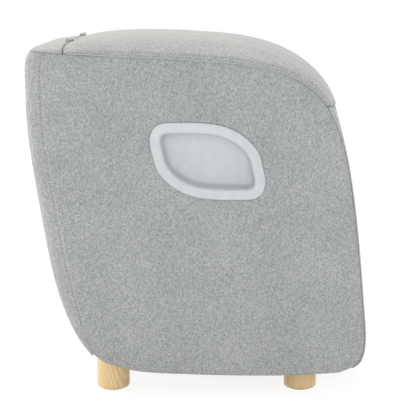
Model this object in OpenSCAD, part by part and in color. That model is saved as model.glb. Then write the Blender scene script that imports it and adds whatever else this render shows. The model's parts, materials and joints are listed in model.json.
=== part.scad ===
// Massage stool: an upholstered footstool whose lid opens on a foot and calf massager.
// Units are millimetres. +X is the front, where the user sits, and +Z is up.
// The origin is on the floor, under the centre of the stool.
// Left and right are the user's own, so left is -Y.

/* [Overall] */
// Length from the back padding to the front padding
body_l = 440; // [425:5:455]
// Width across the padded sides
body_w = 400; // [395:5:430]
// Height from the floor to the crown of the lid
body_h = 470; // [460:5:485]

/* [Upholstery] */
// Foam and fabric over each side board
side_pad = 18; // [15:1:20]
// Foam and fabric over the rear board
rear_pad = 19; // [15:1:21]
// How far the rear cover wraps round onto each side
rear_wrap = 22; // [20:1:26]
// Gap at each parting line of the lid
parting_gap = 4.6; // [4.4:0.1:5.4]

/* [Boards] */
// Thickness of the side boards
side_board_t = 12; // [9:1:13]
// Thickness of the bent rear and front boards
bent_board_t = 8; // [6:1:9]
// Thickness of the base board
base_board_t = 15; // [12:1:16]
// Thickness of the lid board
lid_board_t = 9; // [7:1:10]

/* [Feet] */
// Diameter of a wooden foot
foot_d = 43; // [34:1:46]
// Height of the base board's underside above the floor
base_h = 56; // [52:1:58]
// Thickness of the felt pad under a foot
foot_pad_t = 3; // [2:0.5:5]
// Diameter of the bolt that holds a foot
foot_bolt_d = 8; // [6:1:10]

/* [Handles] */
// Length of a carrying handle's rim
handle_l = 145; // [130:1:150]
// Height of a carrying handle's rim
handle_h = 98; // [90:1:104]
// Depth of the finger recess
handle_depth = 27; // [20:1:28]

/* [Foot wells] */
// Room between a foot well and the side board, for the shafts and their brackets
well_side_room = 21; // [20:1:30]
// Space between the two foot wells, which holds the gearbox
well_gap = 48; // [46:1:50]
// Wall of the moulded wells and of the deck
shell_t = 3; // [2:0.5:3.5]

/* [Massage drive] */
// Radius of a roller over its nubs
roller_r = 24; // [22:0.5:25]
// Length of one roller, as a share of the foot well's width
roller_l_share = 0.72; // [0.6:0.01:0.76]
// How far the rollers stand into a well
roller_reach = 8; // [5:0.5:9]
// Module of the gears
gear_module = 1.5; // [1.4:0.05:1.55]
// Width of the gears
gear_w = 8; // [6:0.5:10]
// Diameter of the roller shafts
shaft_d = 8; // [7:0.5:9]
// Diameter of the gear motor
motor_d = 37; // [32:1:38]

/* [Hidden] */

// Clearance between neighbouring pieces that don't touch on purpose
fit = 0.3;
// Running clearance of a shaft in its bush, on the radius
running = 0.05;
// How far a cut runs past the face that it opens
over = 2;
// Facets of round parts
$fn = 40;

// Outline shares: x as a share of body_l, z as a share of body_h
seam_shares = [[-0.468, 0.950], [-0.432, 0.949], [-0.382, 0.946], [-0.318, 0.9425], [-0.227, 0.938],
               [-0.114, 0.934], [0.000, 0.927], [0.102, 0.9195], [0.193, 0.905], [0.261, 0.8855],
               [0.311, 0.8585], [0.343, 0.8335], [0.366, 0.8065], [0.398, 0.749], [0.423, 0.677],
               [0.4443, 0.5745], [0.4625, 0.447], [0.4784, 0.298], [0.4875, 0.170],
               [0.4705, 0.117], [0.4455, 0.0936]];
crown_shares = [[-0.475, 0.957], [-0.439, 0.965], [-0.389, 0.9735], [-0.325, 0.989], [-0.227, 0.9985],
                [-0.109, 1.0], [0.0045, 0.9947], [0.118, 0.982], [0.216, 0.962], [0.291, 0.933],
                [0.350, 0.8925], [0.387, 0.850], [0.406, 0.8075], [0.420, 0.745], [0.435, 0.670],
                [0.4555, 0.570], [0.4727, 0.4425], [0.4895, 0.2935], [0.500, 0.166],
                [0.4875, 0.1065], [0.4545, 0.082]];
rear_shares = [[-0.477, 0.9485], [-0.4955, 0.919], [-0.500, 0.834], [-0.4955, 0.745], [-0.484, 0.649],
               [-0.466, 0.536], [-0.448, 0.432], [-0.423, 0.323], [-0.389, 0.228],
               [-0.348, 0.1595], [-0.311, 0.119]];
bottom_shares = [[0.409, 0.0766], [0.341, 0.0713], [0.239, 0.066], [0.091, 0.067], [-0.045, 0.0702],
                 [-0.141, 0.0734], [-0.209, 0.081], [-0.280, 0.102]];
// How much of the rear padding and of the wrap is left at each rear point
rear_pad_shares = [1, 1, 1, 1, 1, 1, 1, 1, 0.85, 0.42, 0.12];
rear_wrap_shares = [1, 1, 1, 1, 1, 1, 1, 1, 0.88, 0.5, 0.17];
// Places in the seam where the rear lip ends and where the front cover starts
rear_parting = 2;
front_parting = 12;
seam_end = len(seam_shares) - 1;
// Points of each curve between two of its given points
curve_steps = 3;
corner_steps = 5;
// Points across a padded strip, and how square its section is
strip_points = 18;
strip_power = 3.4;

// Small shared formulas
function unit(v) = v / norm(v);
function lerp(a, b, t) = a + (b - a) * t;
function place(shares) = [for (s = shares) [s[0] * body_l, s[1] * body_h]];
function reversed(v) = [for (i = [len(v) - 1:-1:0]) v[i]];
function spline_point(a, b, c, d, t) =
    (2 * b + (c - a) * t + (2 * a - 5 * b + 4 * c - d) * t * t
     + (3 * b - a - 3 * c + d) * t * t * t) / 2;
function open_spline(k) = let (n = len(k) - 1)
    [for (i = [0:n - 1]) for (j = [0:curve_steps - 1])
        spline_point(k[max(i - 1, 0)], k[i], k[i + 1], k[min(i + 2, n)], j / curve_steps), k[n]];
function closed_spline(k, steps) = let (n = len(k))
    [for (i = [0:n - 1]) for (j = [0:steps - 1])
        spline_point(k[(i + n - 1) % n], k[i], k[(i + 1) % n], k[(i + 2) % n], j / steps)];
function part_of(v, from, to) = [for (i = [from * curve_steps:to * curve_steps]) v[i]];
// Takes a length off each end of a curve, as a share of its first and last step
function trimmed(v, first, last) = let (n = len(v) - 1)
    [for (i = [0:n]) i == 0 ? lerp(v[0], v[1], first) : i == n ? lerp(v[n], v[n - 1], last) : v[i]];
function trim_share(v, d) = d / norm(v[1] - v[0]);
// Unit normals on the right-hand side of a curve's direction
function normal_at(v, i) = let (t = unit(v[min(i + 1, len(v) - 1)] - v[max(i - 1, 0)])) [t[1], -t[0]];
function offset_curve(v, d) = [for (i = [0:len(v) - 1]) v[i] + normal_at(v, i) * d];
// A falling curve cut off level at a height
function at_height(curve, z) = let (i = max([for (k = [0:len(curve) - 2]) if (curve[k][1] > z) k]))
    lerp(curve[i][0], curve[i + 1][0], (curve[i][1] - z) / (curve[i][1] - curve[i + 1][1]));
function down_to(curve, z) = concat([for (p = curve) if (p[1] > z) p], [[at_height(curve, z), z]]);
// Corners of an outline, drawn clockwise, rounded and moved outwards by d
function corner_turn(v, i) = let (n = len(v), a = v[i] - v[(i + n - 1) % n], b = v[(i + 1) % n] - v[i])
    a[0] * b[1] - a[1] * b[0];
function grown(v, d) = let (n = len(v)) [for (i = [0:n - 1])
    let (a = unit(v[i] - v[(i + n - 1) % n]), b = unit(v[(i + 1) % n] - v[i]),
         p = [-a[1], a[0]], q = [-b[1], b[0]])
    v[i] + (p + q) * d / (1 + p * q)];
function fillet(a, p, b, r) =
    let (u = unit(a - p), v = unit(b - p), half = acos(u * v) / 2,
         c = p + unit(u + v) * r / sin(half),
         from = p + u * r / tan(half) - c, to = p + v * r / tan(half) - c,
         start = atan2(from[1], from[0]), turn = (atan2(to[1], to[0]) - start + 3 * 180) % 360 - 180)
    [for (i = [0:corner_steps]) let (a = start + turn * i / corner_steps) c + r * [cos(a), sin(a)]];
function rounded(v, radii, d = 0) = let (n = len(v), w = grown(v, d)) [for (i = [0:n - 1])
    each fillet(w[(i + n - 1) % n], w[i], w[(i + 1) % n], radii[i] + (corner_turn(v, i) < 0 ? d : -d))];
function block(w, h, r) = rounded([[-w, -h] / 2, [-w, h] / 2, [w, h] / 2, [w, -h] / 2], [r, r, r, r]);

// The three curves that the whole body is drawn from
seam = open_spline(place(seam_shares));
crown = open_spline(place(crown_shares));
rear_line = open_spline(place(rear_shares));
// Depth of the back padding and of its wrap at each rear point
rear_depth = open_spline([for (i = [0:len(rear_shares) - 1])
    [rear_pad * rear_pad_shares[i], rear_wrap * rear_wrap_shares[i]]]);
// The rear line runs down, so its inside is on its left; its upright top is squared off level
rear_normals = [for (i = [0:len(rear_line) - 1]) i < 2 * curve_steps ? [1, 0] : -normal_at(rear_line, i)];
rear_seam = [for (i = [0:len(rear_line) - 1]) rear_line[i] + rear_normals[i] * rear_depth[i][1]];
rear_inner = [for (i = [0:len(rear_line) - 1]) rear_line[i] + rear_normals[i] * rear_depth[i][0]];

// Planes across the stool
side_face = body_w / 2;
seam_sink = 2;
board_out = side_face - side_pad;
board_in = board_out - side_board_t;
base_top = base_h + base_board_t;
well_w = board_in - well_gap / 2 - well_side_room;
roller_l = well_w * roller_l_share;

// Joins rings of points into one closed solid
module skin(rings) {
    n = len(rings[0]);
    m = len(rings);
    polyhedron(
        points = [for (r = rings) for (p = r) p],
        faces = concat(
            [[for (j = [n - 1:-1:0]) j]],
            [for (i = [0:m - 2], j = [0:n - 1]) [i * n + j, (i + 1) * n + (j + 1) % n, (i + 1) * n + j]],
            [for (i = [0:m - 2], j = [0:n - 1])
                [i * n + j, i * n + (j + 1) % n, (i + 1) * n + (j + 1) % n]],
            [[for (j = [0:n - 1]) (m - 1) * n + j]]));
}
// A flat X-Z outline made into a board across Y
module across(points, from, to) {
    translate([0, to, 0]) rotate([90, 0, 0]) linear_extrude(to - from) polygon(points);
}
// A round bar across Y
module bar(at, r, from, to) {
    translate([at[0], to, at[1]]) rotate([90, 0, 0]) cylinder(r = r, h = to - from);
}
module on_right() { mirror([0, 1, 0]) children(); }
module both_sides() { children(); on_right() children(); }

// Heights above the seam across a padded strip, from one side to the other
function strip_section(half) = [for (j = [0:strip_points])
    let (a = 180 * j / strip_points, c = cos(a), s = sin(a))
    [-half * sign(c) * pow(abs(c), 2 / strip_power), pow(abs(s), 2 / strip_power)]];
// One ring of a strip; the pocket is cut up into its underside
function strip_ring(s, c, half, pocket_half, pocket_h) = let (up = unit(c - s), h = norm(c - s))
    concat([for (q = strip_section(half)) [s[0] + up[0] * h * q[1], q[0], s[1] + up[1] * h * q[1]]],
           pocket_h > 0 ? [for (q = [[pocket_half, 0], [pocket_half, pocket_h],
                                     [-pocket_half, pocket_h], [-pocket_half, 0]])
               [s[0] + up[0] * q[1], q[0], s[1] + up[1] * q[1]]] : []);

/* Upholstery */
cover_colour = "#a9acac";
side_rows = [[1, 0], [1, 0.6], [0.994, 0.82], [0.975, 0.93], [0.9, 0.975], [0.7, 0.995], [0.35, 1]];
side_outline = concat(
    [for (i = [curve_steps + 1:len(seam) - 1]) seam[i]],
    open_spline(place(bottom_shares)),
    reversed(rear_seam));
side_centre = [0, body_h / 2];
module left_side_cover() {
    color(cover_colour) difference() {
        skin([for (r = side_rows) [for (p = side_outline)
            let (q = lerp(side_centre, p, r[0]))
            [q[0], -(board_out + fit + (side_pad - fit) * r[1]), q[1]]]]);
        handle_hole(-side_face - over, -board_out + over, hole_inset_share * handle_rim);
    }
}
module right_side_cover() { on_right() left_side_cover(); }

wrap_steps = 6;
// The section of the back padding at one point of the rear line: depth inwards and place across
function rear_section(i) = let (
    r = rear_depth[i][1], pad = rear_depth[i][0] - fit, out = side_face - seam_sink,
    corner = [for (k = [0:wrap_steps]) let (a = 90 * k / wrap_steps)
        [r - (r - fit) * sin(a) - fit, out - r * (1 - cos(a))]])
    concat([[r - fit, board_out + fit], [r - fit, out - fit]], [for (k = [1:wrap_steps]) corner[k]],
           [for (k = [wrap_steps:-1:1]) [corner[k][0], -corner[k][1]]],
           [[r - fit, -out + fit], [r - fit, -board_out - fit],
            [pad, -board_out - fit], [pad, board_out + fit]]);
module rear_cover() {
    color(cover_colour) difference() {
        skin([for (i = [0:len(rear_line) - 1]) [for (q = rear_section(i))
            [rear_line[i][0] + rear_normals[i][0] * q[0], q[1],
             rear_line[i][1] + rear_normals[i][1] * q[0]]]]);
        inlet_hole();
    }
}
front_seam = part_of(seam, front_parting, seam_end);
front_crown = part_of(crown, front_parting, seam_end);
module front_cover() {
    color(cover_colour) skin([for (i = [0:len(front_seam) - 1])
        strip_ring(front_seam[i] + unit(front_crown[i] - front_seam[i]) * fit, front_crown[i],
                   side_face - seam_sink, 0, 0)]);
}
lip_seam = part_of(seam, 0, rear_parting);
lip_crown = part_of(crown, 0, rear_parting);
lip_trim = trim_share(reversed(lip_seam), parting_gap / 2);
// Half width of the body over its rounded rear corners
function corner_half(x) = let (r = rear_wrap, d = min(x - rear_line[0][0], r))
    side_face - seam_sink - r + sqrt(r * r - (r - d) * (r - d));
module rear_lip() {
    s = trimmed(lip_seam, 0, lip_trim);
    c = trimmed(lip_crown, 0, lip_trim);
    color(cover_colour) difference() {
        skin([for (i = [0:len(s) - 1])
            strip_ring(s[i] + unit(c[i] - s[i]) * fit, c[i], corner_half(s[i][0]), 0, 0)]);
        knuckle_room();
    }
}

lid_seam = part_of(seam, rear_parting, front_parting);
lid_crown = part_of(crown, rear_parting, front_parting);
half_gap = parting_gap / 2;
lid_s = trimmed(lid_seam, trim_share(lid_seam, half_gap), trim_share(reversed(lid_seam), half_gap));
lid_c = trimmed(lid_crown, trim_share(lid_crown, half_gap), trim_share(reversed(lid_crown), half_gap));
lid_up = [for (i = [0:len(lid_s) - 1]) unit(lid_c[i] - lid_s[i])];
// The board lies in a pocket in the underside of the cushion
pocket_half = board_in - 2 * seam_sink;
module lid_cushion() {
    color(cover_colour) difference() {
        skin([for (i = [0:len(lid_s) - 1])
            strip_ring(lid_s[i] + lid_up[i] * fit, lid_c[i], side_face - seam_sink,
                       pocket_half, lid_board_t)]);
        knuckle_room();
    }
}
module lid_board() {
    low = [for (i = [0:len(lid_s) - 1]) lid_s[i] + lid_up[i] * fit];
    high = [for (i = [0:len(lid_s) - 1]) lid_s[i] + lid_up[i] * lid_board_t];
    color(board_colour) difference() {
        across(concat(high, reversed(low)), -pocket_half + fit, pocket_half - fit);
        for (y = hinge_screw_rows, q = lid_screw_places) lid_screw_hole(q, y);
    }
}
bumper_colour = "#4a4c4e";
bumper_d = 12;
bumper_y_share = 0.3;
// Places of the bumpers along the seam: one pair at the back, one at the front
bumper_steps = 5;
bumper_at = [rear_parting * curve_steps + bumper_steps, (front_parting - 1) * curve_steps];
module lid_bumpers() {
    color(bumper_colour) for (i = bumper_at, side = [-1, 1])
        let (n = normal_at(seam, i))
        translate([seam[i][0], side * body_w * bumper_y_share, seam[i][1]])
            rotate([0, atan2(n[0], n[1]), 0]) translate([0, 0, fit])
                cylinder(d = bumper_d, h = deck_drop - 2 * fit);
}

/* Boards */
board_colour = "#c9a878";
side_board_outline = concat(
    down_to(offset_curve(part_of(seam, 1, seam_end), fit), base_top),
    reversed(down_to([for (i = [2:len(rear_inner) - 1]) rear_inner[i]], base_top)));
module left_side_board() {
    color(board_colour) difference() {
        across(side_board_outline, -board_out, -board_in);
        handle_hole(-board_out - over, -board_in + over, cup_wall_share * handle_rim - fit);
        for (p = handle_bosses) bar(p, screw_d / 2, -board_out - over, -board_in + over);
    }
}
module right_side_board() { on_right() left_side_board(); }

rear_board_at = [for (d = [fit, fit + bent_board_t])
    down_to([for (i = [1:len(rear_inner) - 1]) rear_inner[i] + rear_normals[i] * d], base_top)];
module rear_board() {
    color(board_colour) difference() {
        across(concat(rear_board_at[0], reversed(rear_board_at[1])), -board_in, board_in);
        inlet_hole();
    }
}
front_board_at = [for (d = [fit, fit + bent_board_t])
    down_to(offset_curve(front_seam, d), base_top)];
module front_board() {
    color(board_colour) across(concat(front_board_at[0], reversed(front_board_at[1])), -board_in, board_in);
}
rear_end = len(rear_inner) - 1;
base_clear = 6 * fit;
base_outline = [
    [rear_inner[rear_end][0] + base_clear, base_h],
    [at_height(rear_inner, base_top) + base_clear, base_top],
    [at_height(front_seam, base_top) - fit, base_top],
    [at_height(front_seam, base_h) - 2 * fit, base_h]];
module base_board() {
    color(board_colour) difference() {
        across(base_outline, -board_out, board_out);
        at_feet() translate([0, 0, base_h - over]) cylinder(d = nut_d, h = base_board_t + 2 * over);
    }
}
// The batten under the rear lip, which carries the hinges
rail_h = 26;
rail_front = seam[rear_parting * curve_steps][0] - half_gap;
rail_rear = rear_board_at[1][0][0];
rail_top = seam[rear_parting * curve_steps][1] - fit;
module lip_rail() {
    color(board_colour) difference() {
        translate([rail_rear, -board_in, rail_top - rail_h])
            cube([rail_front - rail_rear, 2 * board_in, rail_h]);
        for (y = hinge_screw_rows, z = rail_screw_heights) rail_screw_hole(y, z);
    }
}

/* Hinges */
steel_colour = "#b9bcbe";
hinge_w = 46;
hinge_y_share = 0.225;
hinge_rows = [-hinge_y_share * body_w, hinge_y_share * body_w];
knuckle_r = 2.6;
hinge_pin_r = 1.2;
leaf_t = 1.3;
leaf_reach = 24;
// The parting plane runs from the seam up to the pin at the crown
part_foot = seam[rear_parting * curve_steps];
pin_at = crown[rear_parting * curve_steps];
part_up = unit(pin_at - part_foot);
part_right = [part_up[1], -part_up[0]];
seam_ahead = unit(seam[(rear_parting + 1) * curve_steps] - part_foot);
leaf_out = half_gap - fit;
leaf_in = leaf_out - leaf_t;
// Where the face of the upright part of the lid's leaf meets the seam
leaf_corner = part_foot + seam_ahead * leaf_out / (seam_ahead * part_right);
screw_d = 3.5;
screw_head_d = 7;
screw_head_t = 1.6;
screw_l = 7.5;
hinge_screw_rows = [for (y = hinge_rows, s = [-1, 1]) y + s * hinge_w / 4];
rail_screw_heights = [rail_top - rail_h / 4 - leaf_t, rail_top - 3 * rail_h / 4];
lid_screw_places = [for (s = [1, 2]) part_foot + seam_ahead * (s * leaf_reach / 3 + leaf_t)];
module knuckle_room() {
    for (y = hinge_rows) bar(pin_at, knuckle_r + 2 * fit, y - hinge_w / 2 - fit, y + hinge_w / 2 + fit);
}
module rail_screw_hole(y, z) {
    translate([rail_front - screw_l, y, z]) rotate([0, 90, 0]) cylinder(d = screw_d, h = screw_l + over);
}
module lid_screw_frame(q, y) {
    translate([q[0], y, q[1]]) rotate([0, -atan2(seam_ahead[1], seam_ahead[0]), 0]) children();
}
module lid_screw_hole(q, y) {
    lid_screw_frame(q, y) translate([0, 0, -over]) cylinder(d = screw_d, h = screw_l + over);
}
module hinge_body_leaves() {
    color(steel_colour) for (y = hinge_rows) difference() {
        union() {
            across([pin_at - part_right * leaf_out, pin_at - part_right * leaf_in,
                    part_foot - part_right * leaf_in, [rail_front + leaf_t, rail_top - leaf_t],
                    [rail_front + leaf_t, rail_top - rail_h], [rail_front, rail_top - rail_h],
                    [rail_front, rail_top - leaf_t], part_foot - part_right * leaf_out],
                   y - hinge_w / 2, y + hinge_w / 2);
            bar(pin_at, knuckle_r, y - hinge_w / 2, y + hinge_w / 2);
        }
        bar(pin_at, knuckle_r + fit, y - hinge_w / 6 - running, y + hinge_w / 6 + running);
        bar(pin_at, hinge_pin_r, y - hinge_w / 2 - over, y + hinge_w / 2 + over);
        for (s = [-1, 1], z = rail_screw_heights) translate([rail_front - over, y + s * hinge_w / 4, z])
            rotate([0, 90, 0]) cylinder(d = screw_d, h = leaf_t + 2 * over);
    }
}
module hinge_lid_leaves() {
    color(steel_colour) for (y = hinge_rows) difference() {
        union() {
            across([part_foot + part_right * leaf_in + part_up * knuckle_r,
                    part_foot + part_right * leaf_out + part_up * knuckle_r,
                    leaf_corner, part_foot + seam_ahead * leaf_reach,
                    part_foot + seam_ahead * leaf_reach - part_up * leaf_t,
                    part_foot + part_right * leaf_in - part_up * leaf_t],
                   y - hinge_w / 2, y + hinge_w / 2);
            across([pin_at + part_right * leaf_in, pin_at + part_right * leaf_out,
                    part_foot + part_right * leaf_out + part_up * leaf_t,
                    part_foot + part_right * leaf_in + part_up * leaf_t],
                   y - hinge_w / 6 + running, y + hinge_w / 6 - running);
            bar(pin_at, knuckle_r, y - hinge_w / 6 + running, y + hinge_w / 6 - running);
        }
        bar(pin_at, hinge_pin_r + running, y - hinge_w / 2 - over, y + hinge_w / 2 + over);
        for (s = [-1, 1], q = lid_screw_places) lid_screw_frame(q, y + s * hinge_w / 4)
            translate([0, 0, -leaf_t - over]) cylinder(d = screw_d, h = leaf_t + 2 * over);
    }
}
module hinge_pins() {
    color(steel_colour) for (y = hinge_rows) bar(pin_at, hinge_pin_r, y - hinge_w / 2, y + hinge_w / 2);
}
module screw(length) {
    cylinder(d = screw_d, h = length);
    translate([0, 0, -screw_head_t]) cylinder(d = screw_head_d, h = screw_head_t);
}
// Screws in the body: those of the handles, and those of the hinges
module body_screws() {
    color(steel_colour) {
        both_sides() for (p = handle_bosses)
            translate([p[0], -board_in + frame_t, p[1]]) rotate([90, 0, 0])
                screw(frame_t + side_board_t + screw_l);
        for (y = hinge_screw_rows, z = rail_screw_heights)
            translate([rail_front + leaf_t, y, z]) rotate([0, -90, 0]) screw(screw_l + leaf_t);
    }
}
module lid_screws() {
    color(steel_colour) for (y = hinge_screw_rows, q = lid_screw_places)
        lid_screw_frame(q, y) translate([0, 0, -leaf_t]) screw(screw_l + leaf_t);
}

/* Feet */
wood_colour = "#efce92";
foot_x_shares = [-0.26, 0.306];
foot_y_share = 0.375;
foot_edge_r = 4;
pad_proud = 1;
pad_d = foot_d * 3 / 4;
bolt_l = 52;
nut_d = foot_bolt_d + 3;
nut_flange_d = 20;
nut_flange_t = 1.5;
module foot_at(x_share, side) {
    translate([x_share * body_l, side * foot_y_share * body_w, 0]) children();
}
module at_feet() {
    for (x = foot_x_shares, side = [-1, 1]) foot_at(x, side) children();
}
bolt_low = base_top + nut_flange_t + over - bolt_l;
module foot() {
    edge = [for (a = [-90:15:0]) [foot_d / 2 - foot_edge_r + foot_edge_r * cos(a),
                                 pad_proud + foot_edge_r + foot_edge_r * sin(a)]];
    color(wood_colour) difference() {
        rotate_extrude() polygon(concat([[0, base_h], [0, pad_proud]], edge, [[foot_d / 2, base_h]]));
        cylinder(d = pad_d, h = foot_pad_t);
        translate([0, 0, bolt_low]) cylinder(d = foot_bolt_d, h = base_h);
    }
}
module rear_left_foot() { foot_at(foot_x_shares[0], -1) foot(); }
module rear_right_foot() { foot_at(foot_x_shares[0], 1) foot(); }
module front_left_foot() { foot_at(foot_x_shares[1], -1) foot(); }
module front_right_foot() { foot_at(foot_x_shares[1], 1) foot(); }
module foot_pads() { color("#5b5d5f") at_feet() cylinder(d = pad_d, h = foot_pad_t); }
module foot_bolts() {
    color(steel_colour) at_feet() translate([0, 0, bolt_low]) cylinder(d = foot_bolt_d, h = bolt_l);
}
module foot_nuts() {
    color(steel_colour) at_feet() difference() {
        union() {
            translate([0, 0, base_h]) cylinder(d = nut_d, h = base_board_t + nut_flange_t);
            translate([0, 0, base_top]) cylinder(d = nut_flange_d, h = nut_flange_t);
        }
        translate([0, 0, base_h - over]) cylinder(d = foot_bolt_d, h = bolt_l);
    }
}

/* Handles */
plastic_colour = "#cacfd2";
handle_centre_shares = [0.026, 0.66];
handle_shares = [[-0.5, 0.245], [-0.493, 0.388], [-0.438, 0.469], [-0.3655, 0.5], [-0.0655, 0.5],
                 [0.148, 0.449], [0.3207, 0.316], [0.438, 0.122], [0.486, -0.112]];
handle_steps = 2;
handle_rim = 15;
handle_centre = [handle_centre_shares[0] * body_l, handle_centre_shares[1] * body_h];
handle_curve = closed_spline(concat(handle_shares, -handle_shares), handle_steps);
function handle_ring(inset) = [for (p = handle_curve)
    handle_centre + [p[0] * (handle_l - 2 * inset), p[1] * (handle_h - 2 * inset)]];
// The cup's section: inset from the rim as a share of its width, height as a share of the depth
cup_wall_share = 0.85;
cup_shares = [[1.75, -1], [1.25, -0.93], [1, -0.75], [cup_wall_share, -0.25], [cup_wall_share, 0], [0, 0],
              [0, 0.05], [0.1, 0.1], [0.4, 0.115], [0.75, 0.09], [0.97, 0.02],
              [1.07, -0.15], [1.17, -0.6], [1.4, -0.82], [1.85, -0.9]];
hole_inset_share = 0.3;
boss_d = 7;
frame_t = 3;
boss_points = handle_ring(handle_rim * (hole_inset_share + cup_wall_share) / 2);
handle_bosses = [for (i = [3, 7, 12, 16]) boss_points[i * handle_steps]];
module handle_hole(from, to, inset) { across(handle_ring(inset), from, to); }
module left_handle_cup() {
    color(plastic_colour) difference() {
        union() {
            skin([for (r = cup_shares) [for (p = handle_ring(r[0] * handle_rim))
                [p[0], -(side_face + r[1] * handle_depth), p[1]]]]);
            for (p = handle_bosses) bar(p, boss_d / 2, -side_face - fit, -board_out);
        }
        for (p = handle_bosses) bar(p, screw_d / 2, -board_out - screw_l, -board_out + over);
    }
}
module right_handle_cup() { on_right() left_handle_cup(); }
// Backing frames that the handle screws pull against
module handle_frames() {
    color("#7d8184") both_sides() difference() {
        across(handle_ring(0), -board_in, -board_in + frame_t);
        across(handle_ring(handle_rim), -board_in - over, -board_in + frame_t + over);
        for (p = handle_bosses) bar(p, screw_d / 2, -board_in - over, -board_in + frame_t + over);
    }
}

/* Deck and foot wells */
shell_colour = "#3d4043";
deck_drop = 14;
deck_rear = rear_parting * curve_steps + 1;
deck_front = front_parting * curve_steps;
function deck_curve(d) = [for (i = [deck_rear:deck_front]) seam[i] + normal_at(seam, i) * (deck_drop + d)];
// The sole runs up from the heel at a set angle, with room for the toes and the instep over it
heel_rise = 19;
sole_rise = 24.55;
toe_room = 51.9;
instep_rise = 34.1;
heel_x_share = 0.2386;
toe_x_share = -0.359;
toe_top_x_share = -0.377;
instep_x_share = -0.1455;
calf_x_shares = [-0.136, 0.2955];
heel = [heel_x_share * body_l, base_top + heel_rise];
toe = [toe_x_share * body_l, heel[1] + (heel_x_share - toe_x_share) * body_l * tan(sole_rise)];
toe_top = [toe_top_x_share * body_l, toe[1] + toe_room];
instep = [instep_x_share * body_l, toe_top[1] + instep_rise];
well = [heel, toe, toe_top, instep, [calf_x_shares[0] * body_l, body_h], [calf_x_shares[1] * body_l, body_h]];
well_radii = [30, 18, 22, 30, 14, 14];
well_near = well_gap / 2;
well_far = well_near + well_w;
well_mid = (well_near + well_far) / 2;
// Extrudes an outline between two distances from the middle, on the left
module in_well(points, near, far) { across(points, -far, -near); }
module well_shell() {
    color(shell_colour) difference() {
        intersection() {
            in_well(rounded(well, well_radii, shell_t), well_near - shell_t, well_far + shell_t);
            across(concat(deck_curve(shell_t), [[deck_curve(shell_t)[deck_front - deck_rear][0], base_top],
                   [deck_curve(shell_t)[0][0] - bent_board_t, base_top]]), -board_in, 0);
        }
        in_well(rounded(well, well_radii), well_near, well_far);
        for (at = [heel_axis, toe_axis]) roller_window(at);
        for (at = [cell_port, foot_port])
            bar(at, port_r + running, -well_near - over, over - well_near + shell_t);
    }
}
module left_well_shell() { well_shell(); }
module right_well_shell() { on_right() well_shell(); }
module top_deck() {
    color(shell_colour) difference() {
        across(concat(deck_curve(0), reversed(deck_curve(shell_t))), -board_in, board_in);
        both_sides() in_well(rounded(well, well_radii), well_near, well_far);
        on_deck() translate([0, 0, -2 * shell_t]) cylinder(d = wire_d + over, h = 4 * shell_t);
    }
}
liner_colour = "#6b6f74";
liner_t = 1.5;
cell_t = 8;
cell_room = 2;
liner_gap = cell_t + cell_room;
liner_flange = 8;
module boot_liner() {
    inner = liner_gap + liner_t;
    low = [for (i = [deck_rear:deck_front]) seam[i] + normal_at(seam, i) * deck_drop];
    high = [for (i = [deck_rear:deck_front]) seam[i] + normal_at(seam, i) * (deck_drop - liner_t)];
    color(liner_colour) difference() {
        union() {
            intersection() {
                in_well(rounded(well, well_radii, -liner_gap), well_near + liner_gap, well_far - liner_gap);
                across(concat(low, [[low[deck_front - deck_rear][0], base_top], [low[0][0], base_top]]),
                       -board_in, 0);
            }
            intersection() {
                across(concat(low, reversed(high)), -board_in, 0);
                translate([well[4][0] - liner_flange, -well_far - liner_flange, heel[1]])
                    cube([mouth_front - well[4][0] + 2 * liner_flange, well_w + 2 * liner_flange, body_h]);
            }
        }
        in_well(rounded(well, well_radii, -inner), well_near + inner, well_far - inner);
    }
}
mouth_front = lerp(heel[0], well[5][0], (seam[deck_front][1] - heel[1]) / (well[5][1] - heel[1]));
module left_boot_liner() { boot_liner(); }
module right_boot_liner() { on_right() boot_liner(); }

// Air cells stand on both side walls of each well
cell_colour = "#2f3134";
calf_x_share = 0.07;
calf_z_share = 0.48;
foot_cell_rise = 116.8;
calf_cell = [110, 80];
foot_cell = [110, 56];
cell_corner = 14;
foot_port = [0, heel[1] + foot_cell_rise];
cell_port = [calf_x_share * body_l, lerp(foot_port[1], body_h, calf_z_share)];
port_r = 2.5;
module cell_pair(at, size) {
    for (from = [well_near + fit, well_far - cell_t]) both_sides()
        translate([at[0], 0, at[1]]) in_well(block(size[0], size[1], cell_corner), from, from + cell_t - fit);
}
module air_cells() {
    color(cell_colour) {
        cell_pair(cell_port, calf_cell);
        cell_pair(foot_port, foot_cell);
    }
}

/* Massage drive */
gear_colour = "#e3e1d8";
heel_teeth = 30;
idler_teeth = 36;
pinion_teeth = 15;
roller_place = 85;
roller_base_share = 0.8;
// Directions along the sole and square to it
sole = unit(toe - heel);
sole_up = [-sole[1], sole[0]] * (sole[0] < 0 ? -1 : 1);
sole_angle = atan2(sole[1], sole[0]);
function mesh_distance(a, b) = gear_module * (a + b) / 2;
function mesh_phase(p, a, b, direction) = direction + 180 + 180 / b - (p - direction) * a / b;
heel_axis = heel + sole * roller_place - sole_up * (roller_r - roller_reach);
idler_axis = heel_axis + sole * mesh_distance(heel_teeth, idler_teeth);
toe_axis = idler_axis + sole * mesh_distance(heel_teeth, idler_teeth);
pinion_axis = idler_axis - sole_up * mesh_distance(idler_teeth, pinion_teeth);
heel_phase = sole_angle;
idler_phase = mesh_phase(heel_phase, heel_teeth, idler_teeth, sole_angle);
toe_phase = mesh_phase(idler_phase, idler_teeth, heel_teeth, sole_angle);
pinion_phase = mesh_phase(idler_phase, idler_teeth, pinion_teeth, atan2(-sole_up[1], -sole_up[0]));
module sole_frame(at) { translate([at[0], 0, at[1]]) rotate([0, 180 - sole_angle, 0]) children(); }
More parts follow.
